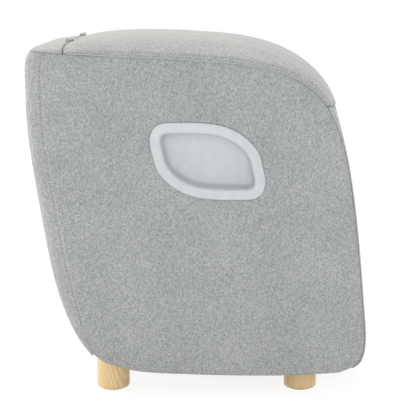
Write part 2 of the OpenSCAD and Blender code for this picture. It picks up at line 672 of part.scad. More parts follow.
module roller_window(at) {
    sole_frame(at + sole_up * (roller_r - roller_reach))
        translate([-roller_r - over, -well_mid - roller_l / 2 - over, -2 * shell_t])
            cube([2 * (roller_r + over), roller_l + 2 * over, 4 * shell_t]);
}
// Gear tooth outline: involute flanks on a 20 degree pressure angle
pressure = 20;
tip_share = 0.9;
root_share = 1.2;
backlash = 0.3;
// How much wider a tooth is at its root than at the base circle, and the most that fits
root_spread = 1.15;
root_limit = 1.7;
function involute(base, r) = r <= base ? 0 : tan(acos(base / r)) * 180 / PI - acos(base / r);
function gear_points(teeth) =
    let (pitch = gear_module * teeth / 2, base = pitch * cos(pressure),
         tip = pitch + tip_share * gear_module, root = pitch - root_share * gear_module,
         half = 90 / teeth - backlash / pitch * 90 / PI + involute(base, pitch),
         radii = [root, max(base, root), pitch, tip])
    [for (k = [0:teeth - 1]) for (s = [-1, 1]) for (r = s < 0 ? radii : reversed(radii))
        let (wide = min(half * root_spread, 90 / teeth * root_limit),
             a = 360 * k / teeth + s * (r == root ? wide : half - involute(base, r)))
        r * [cos(a), sin(a)]];
module gear_at(at, teeth, phase, bore_r) {
    color(gear_colour) translate([at[0], gear_w / 2, at[1]]) rotate([90, 0, 0]) rotate([0, 0, phase])
        difference() {
            linear_extrude(gear_w) polygon(gear_points(teeth));
            translate([0, 0, -over]) cylinder(r = bore_r, h = gear_w + 2 * over);
        }
}
bracket_gap = 3;
bracket_t = 6;
shaft_end = well_far + shell_t + bracket_gap + bracket_t;
shaft_r = shaft_d / 2;
module heel_roller_shaft() { color(steel_colour) bar(heel_axis, shaft_r, -shaft_end, shaft_end); }
module toe_roller_shaft() { color(steel_colour) bar(toe_axis, shaft_r, -shaft_end, shaft_end); }
module heel_gear() { gear_at(heel_axis, heel_teeth, heel_phase, shaft_r); }
module toe_gear() { gear_at(toe_axis, heel_teeth, toe_phase, shaft_r); }
module idler_gear() { gear_at(idler_axis, idler_teeth, idler_phase, shaft_r + running); }
// A roller has rings of nubs: ribs turned on it, then cut by grooves along it
roller_ribs = 4;
roller_grooves = 6;
groove_r = 5;
rib_shares = [[0.12, 0], [0.34, 1], [0.66, 1], [0.88, 0]];
module roller_pair(at) {
    pitch = roller_l / roller_ribs;
    base = roller_r * roller_base_share;
    ribs = concat([[shaft_r, 0], [base, 0]],
        [for (k = [0:roller_ribs - 1], q = rib_shares) [lerp(base, roller_r, q[1]), pitch * (k + q[0])]],
        [[base, roller_l], [shaft_r, roller_l]]);
    color("#55585c") both_sides() translate([at[0], -well_mid + roller_l / 2, at[1]]) rotate([90, 0, 0])
        difference() {
            rotate_extrude() polygon(ribs);
            for (k = [0:roller_grooves - 1]) rotate(360 * k / roller_grooves)
                translate([base + groove_r, 0, -over]) cylinder(r = groove_r, h = roller_l + 2 * over);
        }
}
module heel_rollers() { roller_pair(heel_axis); }
module toe_rollers() { roller_pair(toe_axis); }

box_half = 16;
box_wall = 2.5;
box_margin = 4;
box_corner = 6;
box_foot = 68;
bush_wall = 2;
motor_shaft_r = 3;
// The gearbox outline in steps along the sole and square to it from the heel axis
idler_tip_r = gear_module * (idler_teeth / 2 + 1);
pinion_tip_r = gear_module * (pinion_teeth / 2 + 1);
span = 2 * mesh_distance(heel_teeth, idler_teeth);
pinion_drop = mesh_distance(idler_teeth, pinion_teeth);
module gearbox_outline(wall) {
    r = idler_tip_r + gear_module + wall;
    low = pinion_drop + pinion_tip_r + wall;
    points = [for (q = [[-r, -r / 2], [-r, r], [span + r, r], [span + r, -r / 2],
                        [span / 2 + pinion_tip_r + box_margin + wall, -low],
                        [span / 2 - pinion_tip_r - box_margin - wall, -low]])
        heel_axis + sole * q[0] + sole_up * q[1]];
    polygon(rounded(reversed(points), [for (p = points) box_corner]));
}
module slab(from, to) { translate([0, to, 0]) rotate([90, 0, 0]) linear_extrude(to - from) children(); }
module gearbox_half() {
    color(shell_colour) difference() {
        union() {
            slab(-box_half, 0) gearbox_outline(box_wall);
            translate([pinion_axis[0] - box_foot / 2, -box_half, base_top])
                cube([box_foot, box_half, pinion_axis[1] - base_top]);
        }
        slab(-box_half + box_wall, over) gearbox_outline(0);
        for (at = [heel_axis, toe_axis]) bar(at, shaft_r + bush_wall, -box_half - over, over);
        bar(idler_axis, shaft_r, -box_half - over, over);
        bar(pinion_axis, motor_shaft_r + fit, -box_half - over, over);
    }
}
module gearbox_left_half() { gearbox_half(); }
module gearbox_right_half() { on_right() gearbox_half(); }
module idler_axle() { color(steel_colour) bar(idler_axis, shaft_r, -box_half, box_half); }
motor_l = 52;
motor_can_share = 0.38;
module drive_pinion() {
    color(gear_colour) {
        gear_at(pinion_axis, pinion_teeth, pinion_phase, motor_shaft_r);
        bar(pinion_axis, motor_shaft_r, -box_half - box_wall, box_half);
    }
}
module gear_motor() {
    color("#8c9094") difference() {
        union() {
            bar(pinion_axis, motor_d / 2, -box_half - motor_l / 2, -box_half);
            bar(pinion_axis, motor_d * motor_can_share, -box_half - motor_l, -box_half - motor_l / 2);
        }
        bar(pinion_axis, motor_shaft_r + fit, -box_half - 2 * box_wall, -box_half + over);
    }
}
module shaft_bushes() {
    color("#c79a5b") both_sides() for (at = [heel_axis, toe_axis]) {
        bush(at, -box_half, -box_half + box_wall);
        bush(at, -shaft_end, -shaft_end + bracket_t);
    }
}
module bush(at, from, to) {
    difference() {
        bar(at, shaft_r + bush_wall, from, to);
        bar(at, shaft_r + running, from - over, to + over);
    }
}
module bearing_brackets() {
    r = shaft_r + bush_wall + box_margin;
    points = [[toe_axis[0], base_top], [toe_axis[0] - r, toe_axis[1] + r],
              [toe_axis[0] + r, toe_axis[1] + r],
              [heel_axis[0] + r, heel_axis[1] + r], [heel_axis[0], base_top]];
    color("#7d8184") both_sides() difference() {
        across(rounded(points, [1, r, r, r, 1]), -shaft_end, -shaft_end + bracket_t);
        for (at = [heel_axis, toe_axis])
            bar(at, shaft_r + bush_wall, -shaft_end - over, -shaft_end + bracket_t + over);
    }
}

/* Pump, controls and power */
pump_size = [58, 50, 46];
pump_x_share = 0.345;
pump_corner = 5;
hose_d = 6;
hose_y = 10;
pump_top = base_top + pump_size[2];
pump_at = [pump_x_share * body_l, 0, base_top];
module air_pump() {
    color("#2b2d30") translate(pump_at) {
        linear_extrude(pump_size[2]) polygon(block(pump_size[0], pump_size[1], pump_corner));
        for (side = [-1, 1]) translate([0, side * hose_y, pump_size[2]])
            cylinder(r = port_r, h = hose_d);
    }
}
// A straight round run between two points, and a route of them with round bends
module run(p, q, r) {
    v = q - p;
    translate(p) rotate([0, acos(v[2] / norm(v)), atan2(v[1], v[0])]) cylinder(r = r, h = norm(v));
}
module route(points, r) {
    for (i = [0:len(points) - 2]) run(points[i], points[i + 1], r);
    for (i = [1:len(points) - 2]) translate(points[i]) sphere(r = r + running);
}
front_wall = (well[5][0] - heel[0]) / (well[5][1] - heel[1]);
// From the pump to the inner cell, then round the front of the well to the outer cell
module cell_feed(port, size) {
    near = -well_near - cell_t / 2;
    far = -well_far + cell_t / 2;
    edge = port[0] + size[0] / 2 + fit;
    wall = heel[0] + (port[1] - heel[1]) * front_wall - hose_d / 2 - 3 * fit;
    bar(port, port_r, -well_near, -well_near + shell_t + fit);
    route([[edge, near, port[1]], [wall, near, port[1]],
           [wall, far, port[1]], [edge, far, port[1]]], hose_d / 2);
}
module air_hoses() {
    color("#d8d9d6") both_sides() difference() {
        union() {
            route([[pump_at[0], -hose_y, pump_top], [pump_at[0], -hose_y, cell_port[1]],
                   [cell_port[0], -hose_y, cell_port[1]],
                   [cell_port[0], -well_near + shell_t + fit, cell_port[1]]],
                  hose_d / 2);
            route([[pump_at[0], -hose_y, foot_port[1]], [foot_port[0], -hose_y, foot_port[1]],
                   [foot_port[0], -well_near + shell_t + fit, foot_port[1]]], hose_d / 2);
            cell_feed(cell_port, calf_cell);
            cell_feed(foot_port, foot_cell);
        }
        translate([pump_at[0], -hose_y, pump_top - over]) cylinder(r = port_r, h = hose_d + over);
    }
}

// A frame on the deck behind the wells, tilted with the deck
panel_at = (rear_parting + 1) * curve_steps + 2;
panel_chord = seam[panel_at + 1] - seam[panel_at - 1];
panel_slope = atan2(-panel_chord[1], panel_chord[0]);
module on_deck() {
    n = normal_at(seam, panel_at);
    at = seam[panel_at] + n * deck_drop;
    translate([at[0], 0, at[1]]) rotate([0, panel_slope, 0]) children();
}
panel_l = 62;
panel_w = 150;
panel_h = 7;
panel_wall = 2;
panel_corner = 8;
button_d = 18;
button_pitch = 34;
button_proud = 2.5;
button_travel = 1;
button_edge = 1;
module control_panel() {
    color("#e6e8ea") on_deck() translate([0, 0, fit]) difference() {
        linear_extrude(panel_h) polygon(block(panel_l, panel_w, panel_corner));
        translate([0, 0, -over]) linear_extrude(panel_h - panel_wall + over)
            polygon(block(panel_l - 2 * panel_wall, panel_w - 2 * panel_wall, panel_corner - panel_wall));
        for (k = [0:3]) translate([0, button_pitch * (k - 1.5), 0])
            cylinder(d = button_d + 2 * fit, h = panel_h + over);
    }
}
module button(k, c) {
    r = button_d / 2;
    rim = r + panel_wall;
    under = panel_h - panel_wall - running;
    top = panel_h + button_proud;
    color(c) on_deck() translate([0, button_pitch * (k - 1.5), fit]) rotate_extrude()
        polygon([[0, button_travel + fit], [panel_wall, button_travel + fit],
                 [panel_wall, panel_h - 2 * panel_wall], [rim, panel_h - 2 * panel_wall],
                 [rim, under], [r, under],
                 [r, top - button_edge], [r - button_edge, top], [0, top]]);
}
module power_button() { button(0, "#d2453c"); }
module mode_button() { button(1, "#f4f5f6"); }
module air_button() { button(2, "#f4f5f6"); }
module heat_button() { button(3, "#f4f5f6"); }
board_drop = 10;
pcb_t = 1.6;
pcb_size = [60, 96];
pcb_post_share = 0.43;
module control_board() {
    color("#2f6b45") on_deck() translate([0, 0, -shell_t - board_drop]) {
        translate([-pcb_size[0] / 2, -pcb_size[1] / 2, 0]) cube([pcb_size[0], pcb_size[1], pcb_t]);
        for (x = [-1, 1], y = [-1, 1])
            translate([x * pcb_size[0] * pcb_post_share, y * pcb_size[1] * pcb_post_share, 0])
                cylinder(r = panel_wall, h = board_drop - fit);
        translate([-pcb_size[0] / 4, -pcb_size[1] / 3, -board_drop])
            cube([pcb_size[0] / 3, pcb_size[1] / 4, board_drop]);
        translate([pcb_size[0] / 5, pcb_size[1] / 5, -board_drop])
            cylinder(r = board_drop / 2, h = board_drop);
    }
}

// The inlet and its switch pass through the rear padding, square to it
inlet_at = 7 * curve_steps + 1;
inlet_w = 56;
inlet_h = 26;
inlet_rim = 3;
inlet_t = 2;
inlet_depth = 34;
module inlet_frame() {
    n = rear_normals[inlet_at];
    translate([rear_line[inlet_at][0], 0, rear_line[inlet_at][1]])
        rotate([0, -atan2(n[1], n[0]), 0]) children();
}
module inlet_hole() {
    inlet_frame() translate([-over, -inlet_w / 2 - fit, -inlet_h / 2 - fit])
        cube([inlet_depth + over, inlet_w + 2 * fit, inlet_h + 2 * fit]);
}
rocker_l = 19;
rocker_w = 13;
rocker_y = 15;
rocker_tilt = 8;
rocker_r = 2;
socket_w = 15;
socket_h = 8.5;
socket_depth = 14;
module power_inlet() {
    color("#1f2123") inlet_frame() difference() {
        union() {
            translate([-inlet_t - 2 * fit, -inlet_w / 2 - inlet_rim, -inlet_h / 2 - inlet_rim])
                cube([inlet_t, inlet_w + 2 * inlet_rim, inlet_h + 2 * inlet_rim]);
            translate([-2 * fit, -inlet_w / 2, -inlet_h / 2]) cube([inlet_depth - over, inlet_w, inlet_h]);
        }
        translate([-inlet_t - over, -rocker_y - socket_w / 2, -socket_h / 2])
            cube([socket_depth + over, socket_w, socket_h]);
        translate([-inlet_t - over, rocker_y - rocker_w / 2 - fit, -rocker_l / 2 - fit])
            cube([socket_depth, rocker_w + 2 * fit, rocker_l + 2 * fit]);
        translate([rocker_l / 4, rocker_y + rocker_w / 2 + 2 * over, 0]) rotate([90, 0, 0])
            cylinder(r = rocker_r + running, h = rocker_w + 4 * over);
    }
}
module power_rocker() {
    face = rocker_l / 2 - 2 * fit;
    color("#8c2f2b") inlet_frame() translate([rocker_l / 4, rocker_y + rocker_w / 2, 0])
        rotate([0, rocker_tilt, 0]) rotate([90, 0, 0]) union() {
            linear_extrude(rocker_w) polygon([
                [-rocker_l / 4 - inlet_t, face], [-rocker_l / 4 - inlet_t / 2, 0],
                [-rocker_l / 4 - inlet_t, -face], [rocker_l / 8, -face],
                [rocker_l / 5, 0], [rocker_l / 8, face]]);
            translate([0, 0, -over]) cylinder(r = rocker_r, h = rocker_w + 2 * over);
        }
}
wire_d = 5;
wire_rise_share = -0.32;
wire_turn_shares = [-0.285, 0.205];
wire_height_shares = [0.3, 0.84, 0.78];
wire_side = 12;
module wiring() {
    r = wire_d / 2;
    up_x = wire_rise_share * body_l;
    low = wire_height_shares[0] * body_h;
    high = wire_height_shares[1] * body_h;
    run_z = wire_height_shares[2] * body_h;
    turn = [wire_turn_shares[0] * body_l, wire_turn_shares[1] * body_h];
    inlet_back = rear_line[inlet_at] + rear_normals[inlet_at] * (inlet_depth - over);
    motor_end = -box_half - motor_l;
    panel_x = seam[panel_at][0];
    board_z = seam[panel_at][1] - deck_drop - shell_t - board_drop;
    // Where a wire meets the underside of the control board, at a distance from its middle
    function at_board(dx) = [panel_x + dx, board_z - dx * tan(panel_slope) - fit];
    rear = at_board(-pcb_size[0] / 5);
    front = at_board(pcb_size[0] / 3);
    color("#1d1e20") {
        route([[inlet_back[0], 0, inlet_back[1]], [up_x, 0, low], [up_x, 0, high], [rear[0], 0, high],
               [rear[0], 0, rear[1]]], r);
        route([[rear[0], wire_side, rear[1]], [rear[0], wire_side, high], [up_x, wire_side, high],
               [up_x, wire_side, low], [turn[0], wire_side, turn[1]],
               [turn[0], motor_end - wire_side, turn[1]],
               [pinion_axis[0], motor_end - wire_side, pinion_axis[1]],
               [pinion_axis[0], motor_end - fit, pinion_axis[1]]], r);
        route([[front[0], 0, front[1]], [front[0], 0, run_z], [pump_at[0] - pump_size[0] / 3, 0, run_z],
               [pump_at[0] - pump_size[0] / 3, 0, pump_top + fit]], r);
    }
}
left_side_cover();
right_side_cover();
rear_cover();
front_cover();
rear_lip();
left_side_board();
right_side_board();
rear_board();
front_board();
base_board();
lip_rail();
lid_cushion();
lid_board();
lid_bumpers();
hinge_body_leaves();
hinge_lid_leaves();
hinge_pins();
body_screws();
lid_screws();
rear_left_foot();
rear_right_foot();
front_left_foot();
front_right_foot();
foot_pads();
foot_bolts();
foot_nuts();
left_handle_cup();
right_handle_cup();
handle_frames();
top_deck();
left_well_shell();
right_well_shell();
left_boot_liner();
right_boot_liner();
air_cells();
heel_roller_shaft();
heel_rollers();
heel_gear();
toe_roller_shaft();
toe_rollers();
toe_gear();
idler_gear();
idler_axle();
drive_pinion();
gear_motor();
gearbox_left_half();
gearbox_right_half();
shaft_bushes();
bearing_brackets();
air_pump();
air_hoses();
control_board();
control_panel();
power_button();
mode_button();
air_button();
heat_button();
power_inlet();
power_rocker();
wiring();
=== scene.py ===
# %% [markdown]
# # A massage stool, dressed over its CAD frame
# The stool is a padded box on four wooden pegs, with a lid that opens over two foot wells. The CAD model says
# where every solid part is and what moves. This script keeps those parts where they are, replaces the soft ones
# with sewn covers, and gives each surface the finish of the real material.

# %% The frame
import json
import math
import time

import bmesh
import bpy
import numpy as np
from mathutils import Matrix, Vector, geometry

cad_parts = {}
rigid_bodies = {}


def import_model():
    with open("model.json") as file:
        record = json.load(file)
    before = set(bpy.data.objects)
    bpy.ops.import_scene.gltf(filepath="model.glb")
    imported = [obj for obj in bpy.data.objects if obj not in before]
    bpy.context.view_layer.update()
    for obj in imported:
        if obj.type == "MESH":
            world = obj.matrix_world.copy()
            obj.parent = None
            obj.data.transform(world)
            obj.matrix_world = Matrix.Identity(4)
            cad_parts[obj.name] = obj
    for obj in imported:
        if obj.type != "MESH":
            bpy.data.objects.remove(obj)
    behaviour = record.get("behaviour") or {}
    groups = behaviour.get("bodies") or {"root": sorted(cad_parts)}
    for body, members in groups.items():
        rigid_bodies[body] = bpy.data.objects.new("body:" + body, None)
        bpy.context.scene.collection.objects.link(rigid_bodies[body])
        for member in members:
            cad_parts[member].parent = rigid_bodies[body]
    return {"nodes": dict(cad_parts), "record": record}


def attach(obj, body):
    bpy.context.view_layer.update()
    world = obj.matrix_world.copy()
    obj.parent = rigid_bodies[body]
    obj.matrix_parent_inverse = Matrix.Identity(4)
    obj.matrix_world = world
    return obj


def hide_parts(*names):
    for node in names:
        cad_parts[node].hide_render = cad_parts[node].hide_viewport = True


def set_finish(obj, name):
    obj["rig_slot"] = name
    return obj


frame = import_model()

MM = 0.001
scene = bpy.context.scene
nodes = frame["nodes"]
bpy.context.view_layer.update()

# %% [markdown]
# ## The camera
# The photo is taken from the stool's side, a little above it, with a long lens: the two feet have the same width
# and the side shows almost no perspective. A long lens is a narrow field of view from far away, so the camera
# stands 1.6 m off and looks down by 10 degrees.

# %% Camera
LOOK_DOWN = math.radians(10)
AIM = Vector((11.8, -200, 250.84)) * MM
CAMERA_DISTANCE = 1600 * MM
SENSOR_WIDTH, FOCAL_LENGTH = 36, 109.4  # millimetres of film

camera = bpy.data.objects.new("camera", bpy.data.cameras.new("camera"))
scene.collection.objects.link(camera)
view_line = Vector((0, math.cos(LOOK_DOWN), -math.sin(LOOK_DOWN)))
camera.location = AIM - view_line * CAMERA_DISTANCE
camera.rotation_euler = view_line.to_track_quat("-Z", "Y").to_euler()
camera.data.sensor_width = SENSOR_WIDTH
camera.data.lens = FOCAL_LENGTH
scene.camera = camera
scene.view_settings.view_transform = "Standard"
print("camera at", [round(v, 3) for v in camera.location])

# %% [markdown]
# ## Colours and nodes
# Colours are noted as sRGB hex, the way a picture shows them, but a renderer counts light, so each is turned to
# linear numbers once. A material is a graph of nodes. One helper adds a node with everything it needs: a plain
# value is set, another node's output is linked.

# %% Colour and node helpers
def linear(hex_colour):
    """sRGB hex to linear red, green, blue, alpha."""
    parts = [int(hex_colour[i:i + 2], 16) / 255 for i in (1, 3, 5)]
    return [v / 12.92 if v <= 0.04045 else ((v + 0.055) / 1.055) ** 2.4 for v in parts] + [1.0]


def add(tree, kind, values):
    """One node. Names in lower case are its settings, the others its inputs. An output is linked to an input,
    and a node stands for its first output."""
    made = tree.nodes.new("ShaderNode" + kind)
    for name, value in values.items():
        if isinstance(value, bpy.types.Node):
            value = value.outputs[0]
        if name == "stops":
            ramp = made.color_ramp.elements
            while len(ramp) < len(value):
                ramp.new(0.5)
            for stop, (place, colour) in zip(ramp, value):
                stop.position, stop.color = place, linear(colour)
        elif isinstance(name, str) and name[0].islower():
            setattr(made, name, value)
        elif isinstance(value, bpy.types.NodeSocket):
            tree.links.new(value, made.inputs[name])
        else:
            made.inputs[name].default_value = value
    return made


def larger(tree, a, b):
    """The larger of two numbers."""
    return add(tree, "Math", {"operation": "MAXIMUM", 0: a, 1: b}).outputs[0]


def material(name):
    """An empty material: itself, its tree, and its object coordinates in metres."""
    made = bpy.data.materials.new(name)
    made.use_nodes = True
    tree = made.node_tree
    tree.nodes.clear()
    return made, tree, add(tree, "TexCoord", {}).outputs["Object"]


def surface(tree, values, bump=None):
    """The shader that everything ends in."""
    if bump is not None:
        values = dict(values, Normal=bump)
    shader = add(tree, "BsdfPrincipled", values)
    add(tree, "OutputMaterial", {"Surface": shader})


print("fabric grey in linear light", [round(v, 3) for v in linear("#a8abab")[:3]])

# %% [markdown]
# ## The floor and the light
# The photo is a white product shot with hardly any shadow: big soft lights from above and from both sides. A
# white world gives the even part and four large area lamps the soft direction. The floor shows itself white to
# the camera and only keeps a faint shadow under the pegs; on the object, the light stays at a plain level.

# %% World
EVEN_LIGHT = 0.6  # how much light the world gives to the stool; the camera sees it at full white

world = bpy.data.worlds.new("studio")
scene.world = world
world.use_nodes = True
tree = world.node_tree
tree.nodes.clear()
rays = add(tree, "LightPath", {}).outputs
seen = larger(tree, larger(tree, rays["Is Camera Ray"], rays["Is Glossy Ray"]), rays["Is Transmission Ray"])
even = add(tree, "Background", {"Color": linear("#f7f8fa"), "Strength": EVEN_LIGHT})
white = add(tree, "Background", {"Color": linear("#ffffff"), "Strength": 1.0})
mixed = add(tree, "MixShader", {0: seen, 1: even, 2: white})
add(tree, "OutputWorld", {"Surface": mixed})

# %% Floor
FLOOR_HALF = 6000 * MM
GLOW = 1.12  # the paper's own light, a little over white
SHADOW_KEPT = {"From Min": 0.3, "From Max": 1.1, "To Min": 0.75, "To Max": 1.0}  # less glow by the stool

floor_mesh = bpy.data.meshes.new("floor")
floor_mesh.from_pydata([(x * FLOOR_HALF, y * FLOOR_HALF, 0) for x, y in ((-1, -1), (1, -1), (1, 1), (-1, 1))],
                       [], [(0, 1, 2, 3)])
floor = bpy.data.objects.new("floor", floor_mesh)
scene.collection.objects.link(floor)
floor_paint, tree, place = material("floor_white_paper")
grain = add(tree, "TexNoise", {"Vector": place, "Scale": 900, "Detail": 2})
tone = add(tree, "ValToRGB", {"Fac": grain, "stops": [(0.3, "#f4f4f4"), (0.7, "#f8f8f8")]})
paper = add(tree, "BsdfDiffuse", {"Color": tone, "Roughness": 0.9})
glow = add(tree, "Emission", {"Color": linear("#ffffff"), "Strength": GLOW})
rays = add(tree, "LightPath", {}).outputs
away = add(tree, "VectorMath", {"operation": "LENGTH", 0: place})
own_light = add(tree, "MapRange", {"Value": away.outputs["Value"]} | SHADOW_KEPT)
lit = larger(tree, rays["Is Camera Ray"], rays["Is Glossy Ray"])
share = add(tree, "Math", {"operation": "MULTIPLY", 0: lit, 1: own_light})
mixed = add(tree, "MixShader", {0: share, 1: paper, 2: glow})
add(tree, "OutputMaterial", {"Surface": mixed})
floor_mesh.materials.append(floor_paint)

# %% Lamps
LIT_POINT = Vector((0, 0, 250)) * MM  # about the middle of the stool


def lamp(name, place_mm, size_mm, watts, colour="#ffffff"):
    """A square soft box that faces the middle of the stool."""
    light = bpy.data.lights.new(name, "AREA")
    light.size, light.energy = size_mm * MM, watts
    light.color = linear(colour)[:3]
    made = bpy.data.objects.new(name, light)
    scene.collection.objects.link(made)
    made.location = Vector(place_mm) * MM
    made.rotation_euler = (LIT_POINT - made.location).to_track_quat("-Z", "Y").to_euler()


lamp("sky_box", (-200, 500, 2600), 2200, 31, "#fffdf6")
lamp("front_box", (-300, -2700, 900), 1800, 19.5)
lamp("rear_box", (-2300, 500, 1000), 1600, 36, "#fffcf2")
lamp("far_box", (2400, 500, 1000), 1600, 27, "#fdfdfb")

# %% [markdown]
# ## The curves that the covers are cut to
# A sewn cover is drawn from its seam lines. The side view has four of them: the seam where the side panel meets
# the lid, the crown that the padding reaches in the middle, the back's line, and the lower edge. They are those of
# the CAD source, in shares of the stool's length and height, moved by a few millimetres at some corners, where the
# photo shows the sewn covers fuller or flatter. Every cover is cut to them, so it meets its neighbour at one line.

# %% Curves of the side view
LENGTH, HEIGHT = 440.0, 470.0
SEAM = [(-0.472, 0.9525), (-0.434, 0.951), (-0.382, 0.946), (-0.318, 0.9425), (-0.227, 0.938), (-0.114, 0.934),
        (0.000, 0.927), (0.102, 0.9195), (0.193, 0.905), (0.261, 0.8855), (0.311, 0.8585), (0.343, 0.8335),
        (0.366, 0.8065), (0.398, 0.749), (0.4225, 0.677), (0.4425, 0.5745), (0.4603, 0.447), (0.4761, 0.298),
        (0.4868, 0.170), (0.4770, 0.111), (0.4515, 0.0860)]
CROWN = [(-0.481, 0.9590), (-0.4395, 0.9645), (-0.389, 0.9735), (-0.325, 0.989), (-0.227, 0.9985), (-0.109, 1.0),
         (0.0045, 0.9947), (0.118, 0.982), (0.216, 0.962), (0.291, 0.933), (0.350, 0.8925), (0.387, 0.850),
         (0.406, 0.8075), (0.420, 0.745), (0.435, 0.670), (0.4555, 0.570), (0.4727, 0.4425), (0.4895, 0.2935),
         (0.500, 0.166), (0.4905, 0.1025), (0.4590, 0.0755)]
REAR = [(-0.4835, 0.9520), (-0.498, 0.922), (-0.500, 0.834), (-0.4955, 0.745), (-0.484, 0.649), (-0.466, 0.536),
        (-0.448, 0.432), (-0.425, 0.323), (-0.3925, 0.228), (-0.3525, 0.1595), (-0.3155, 0.119)]
BOTTOM = [(0.4125, 0.0710), (0.341, 0.0670), (0.239, 0.063), (0.091, 0.0635), (-0.045, 0.0672), (-0.141, 0.0715),
          (-0.209, 0.081), (-0.280, 0.102)]
REAR_PAD = [19 * s for s in (1, 1, 1, 1, 1, 1, 1, 1.04, 0.92, 0.5, 0.18)]  # how thick the back is
REAR_WRAP = [22 * s for s in (1, 1, 1, 1, 1, 1, 1, 1, 0.88, 0.5, 0.17)]  # how far it wraps round
LIP_END, FRONT_START, FRONT_END = 2, 12, len(SEAM) - 1  # the seam's knots where the strips meet and end


def in_mm(shares):
    return np.array([(x * LENGTH, z * HEIGHT) for x, z in shares])


def at(knots, t):
    """The smooth curve through the knots, at the knot numbers t."""
    knots = np.asarray(knots, float)
    i = np.clip(np.floor(t).astype(int), 0, len(knots) - 2)
    f = (t - i)[:, None] if knots.ndim > 1 else t - i
    a, b = knots[np.maximum(i - 1, 0)], knots[i]
    c, d = knots[i + 1], knots[np.minimum(i + 2, len(knots) - 1)]
    return (2 * b + (c - a) * f + (2 * a - 5 * b + 4 * c - d) * f ** 2 + (3 * b - a - 3 * c + d) * f ** 3) / 2


def run_along(points):
    """The distance run along a line of points, 0 at the first."""
    return np.r_[0, np.cumsum(np.linalg.norm(np.diff(points, axis=0), axis=1))]


def even_steps(knots, first, last, step):
    """Knot numbers from first to last, spaced about step mm apart along the curve."""
    t = np.linspace(first, last, 2000)
    run = run_along(at(knots, t))
    count = max(int(round(run[-1] / step)), 2)
    return np.interp(np.linspace(0, run[-1], count + 1), run, t)


def unit(v):
    return v / np.linalg.norm(v, axis=-1, keepdims=True)


def left_of(points):
    """Unit normals on the left-hand side of a flat curve's direction."""
    t = unit(np.gradient(points, axis=0))
    return np.stack([-t[:, 1], t[:, 0]], axis=1)


seam, crown, rear, bottom = in_mm(SEAM), in_mm(CROWN), in_mm(REAR), in_mm(BOTTOM)
lid_line = at(seam, even_steps(seam, LIP_END, FRONT_START, 5))
print("lid seam", round(float(run_along(lid_line)[-1])), "mm long")

# %% Distances across the stool
SIDE_FACE, BOARD_OUT = 200.0, 182.0  # outside of the side fabric and of the side board
SINK, FIT, PARTING = 0.6, 0.06, 1.6  # a strip's end inside the side, a fit, the gap round the lid
LID_BOARD, POCKET_HALF = 9.0, 166.0  # the lid board's thickness and half its pocket's width
SECTION_POWER = 2.9  # 2 would be an ellipse, more is boxier
SHOULDER, EDGE_STEP = 26.0, 0.28  # the round part beside a seam, and its share of the usual step
STEP = 6.0  # between two points of a cover
FLAT_COUNT, RIM_COUNT, ROOF_COUNT = 36, 6, 34  # points across the underside, and across the pocket's parts

# %% [markdown]
# ## A cover as a closed mesh
# The strips over the top, the front and the back are each one long padded band. A band is easiest to build as
# rings: the section across the stool, repeated along the seam and joined to its neighbours by four-sided faces.
# Cloth simulation and subdivision both like such an even grid. The last ring is closed with a smaller one inside
# it, so that the end is a folded edge and not a cut.

# %% Ring mesh
END_SHARES, END_BULGE = (0.97, 0.88, 0.6), 3  # the rings that close an end, and how far it bulges


def piece_of(name, mesh_data, body, slot_name):
    """A finished mesh as a piece that rides on a body."""
    made = bpy.data.objects.new(name, mesh_data)
    scene.collection.objects.link(made)
    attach(made, body)
    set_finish(made, slot_name)
    return made


def cover(name, mesh_data, body, slot_name, node_name):
    """A padded piece that takes the place of a CAD node."""
    made = piece_of(name, mesh_data, body, slot_name)
    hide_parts(node_name)
    return made


def mesh_of(name, points, faces):
    """Points in millimetres and faces, with the outside facing out."""
    made = bpy.data.meshes.new(name)
    made.from_pydata([tuple(p) for p in np.asarray(points) * MM], [], [tuple(int(i) for i in f) for f in faces])
    shape = bmesh.new()
    shape.from_mesh(made)
    bmesh.ops.recalc_face_normals(shape, faces=shape.faces)
    shape.to_mesh(made)
    shape.free()
    made.shade_smooth()
    return made


def loft(n, m, start=0):
    """The faces between m loops of n points, numbered from start, with both ends closed."""
    faces = [(i + j, i + (j + 1) % n, i + n + (j + 1) % n, i + n + j)
             for i in range(start, start + (m - 1) * n, n) for j in range(n)]
    last = start + (m - 1) * n
    return faces + [tuple(range(start, start + n))[::-1], tuple(range(last, last + n))]


def ring_mesh(name, rings, end_shares=END_SHARES):
    """Rings of the same count joined in order; each end is closed by rings that shrink to its middle."""
    rings = [np.asarray(r, float) for r in rings]

    def closing(ring, inner):
        middle = ring.mean(axis=0)
        out = unit(middle - inner.mean(axis=0))
        return [middle + (ring - middle) * s + out * (1 - s) * END_BULGE for s in end_shares]

    rings = closing(rings[0], rings[1])[::-1] + rings + closing(rings[-1], rings[-2])
    return mesh_of(name, np.concatenate(rings), loft(len(rings[0]), len(rings)))


# %% The section across a strip
def picked(points, run, places):
    """Points at given distances along a line; run is the distance of each of its points."""
    return np.stack([np.interp(places, run, column) for column in np.transpose(points)], axis=1)


def arch(half, step=STEP, count=0):
    """Points over a strip from left to right: distance from the middle, and height as a share."""
    turn = np.linspace(0, math.pi, 4000)
    y = -half * np.sign(np.cos(turn)) * np.abs(np.cos(turn)) ** (2 / SECTION_POWER)
    up = np.abs(np.sin(turn)) ** (2 / SECTION_POWER)
    from_edge = np.clip((half - np.abs(y[1:])) / SHOULDER, 0, 1)
    spacing = step * (EDGE_STEP + (1 - EDGE_STEP) * from_edge)
    run = np.r_[0, np.cumsum(np.hypot(np.diff(y), np.diff(up * SHOULDER)) / spacing)]
    return picked(np.stack([y, up], axis=1), run, np.linspace(0, run[-1], count or int(round(run[-1])) + 1))


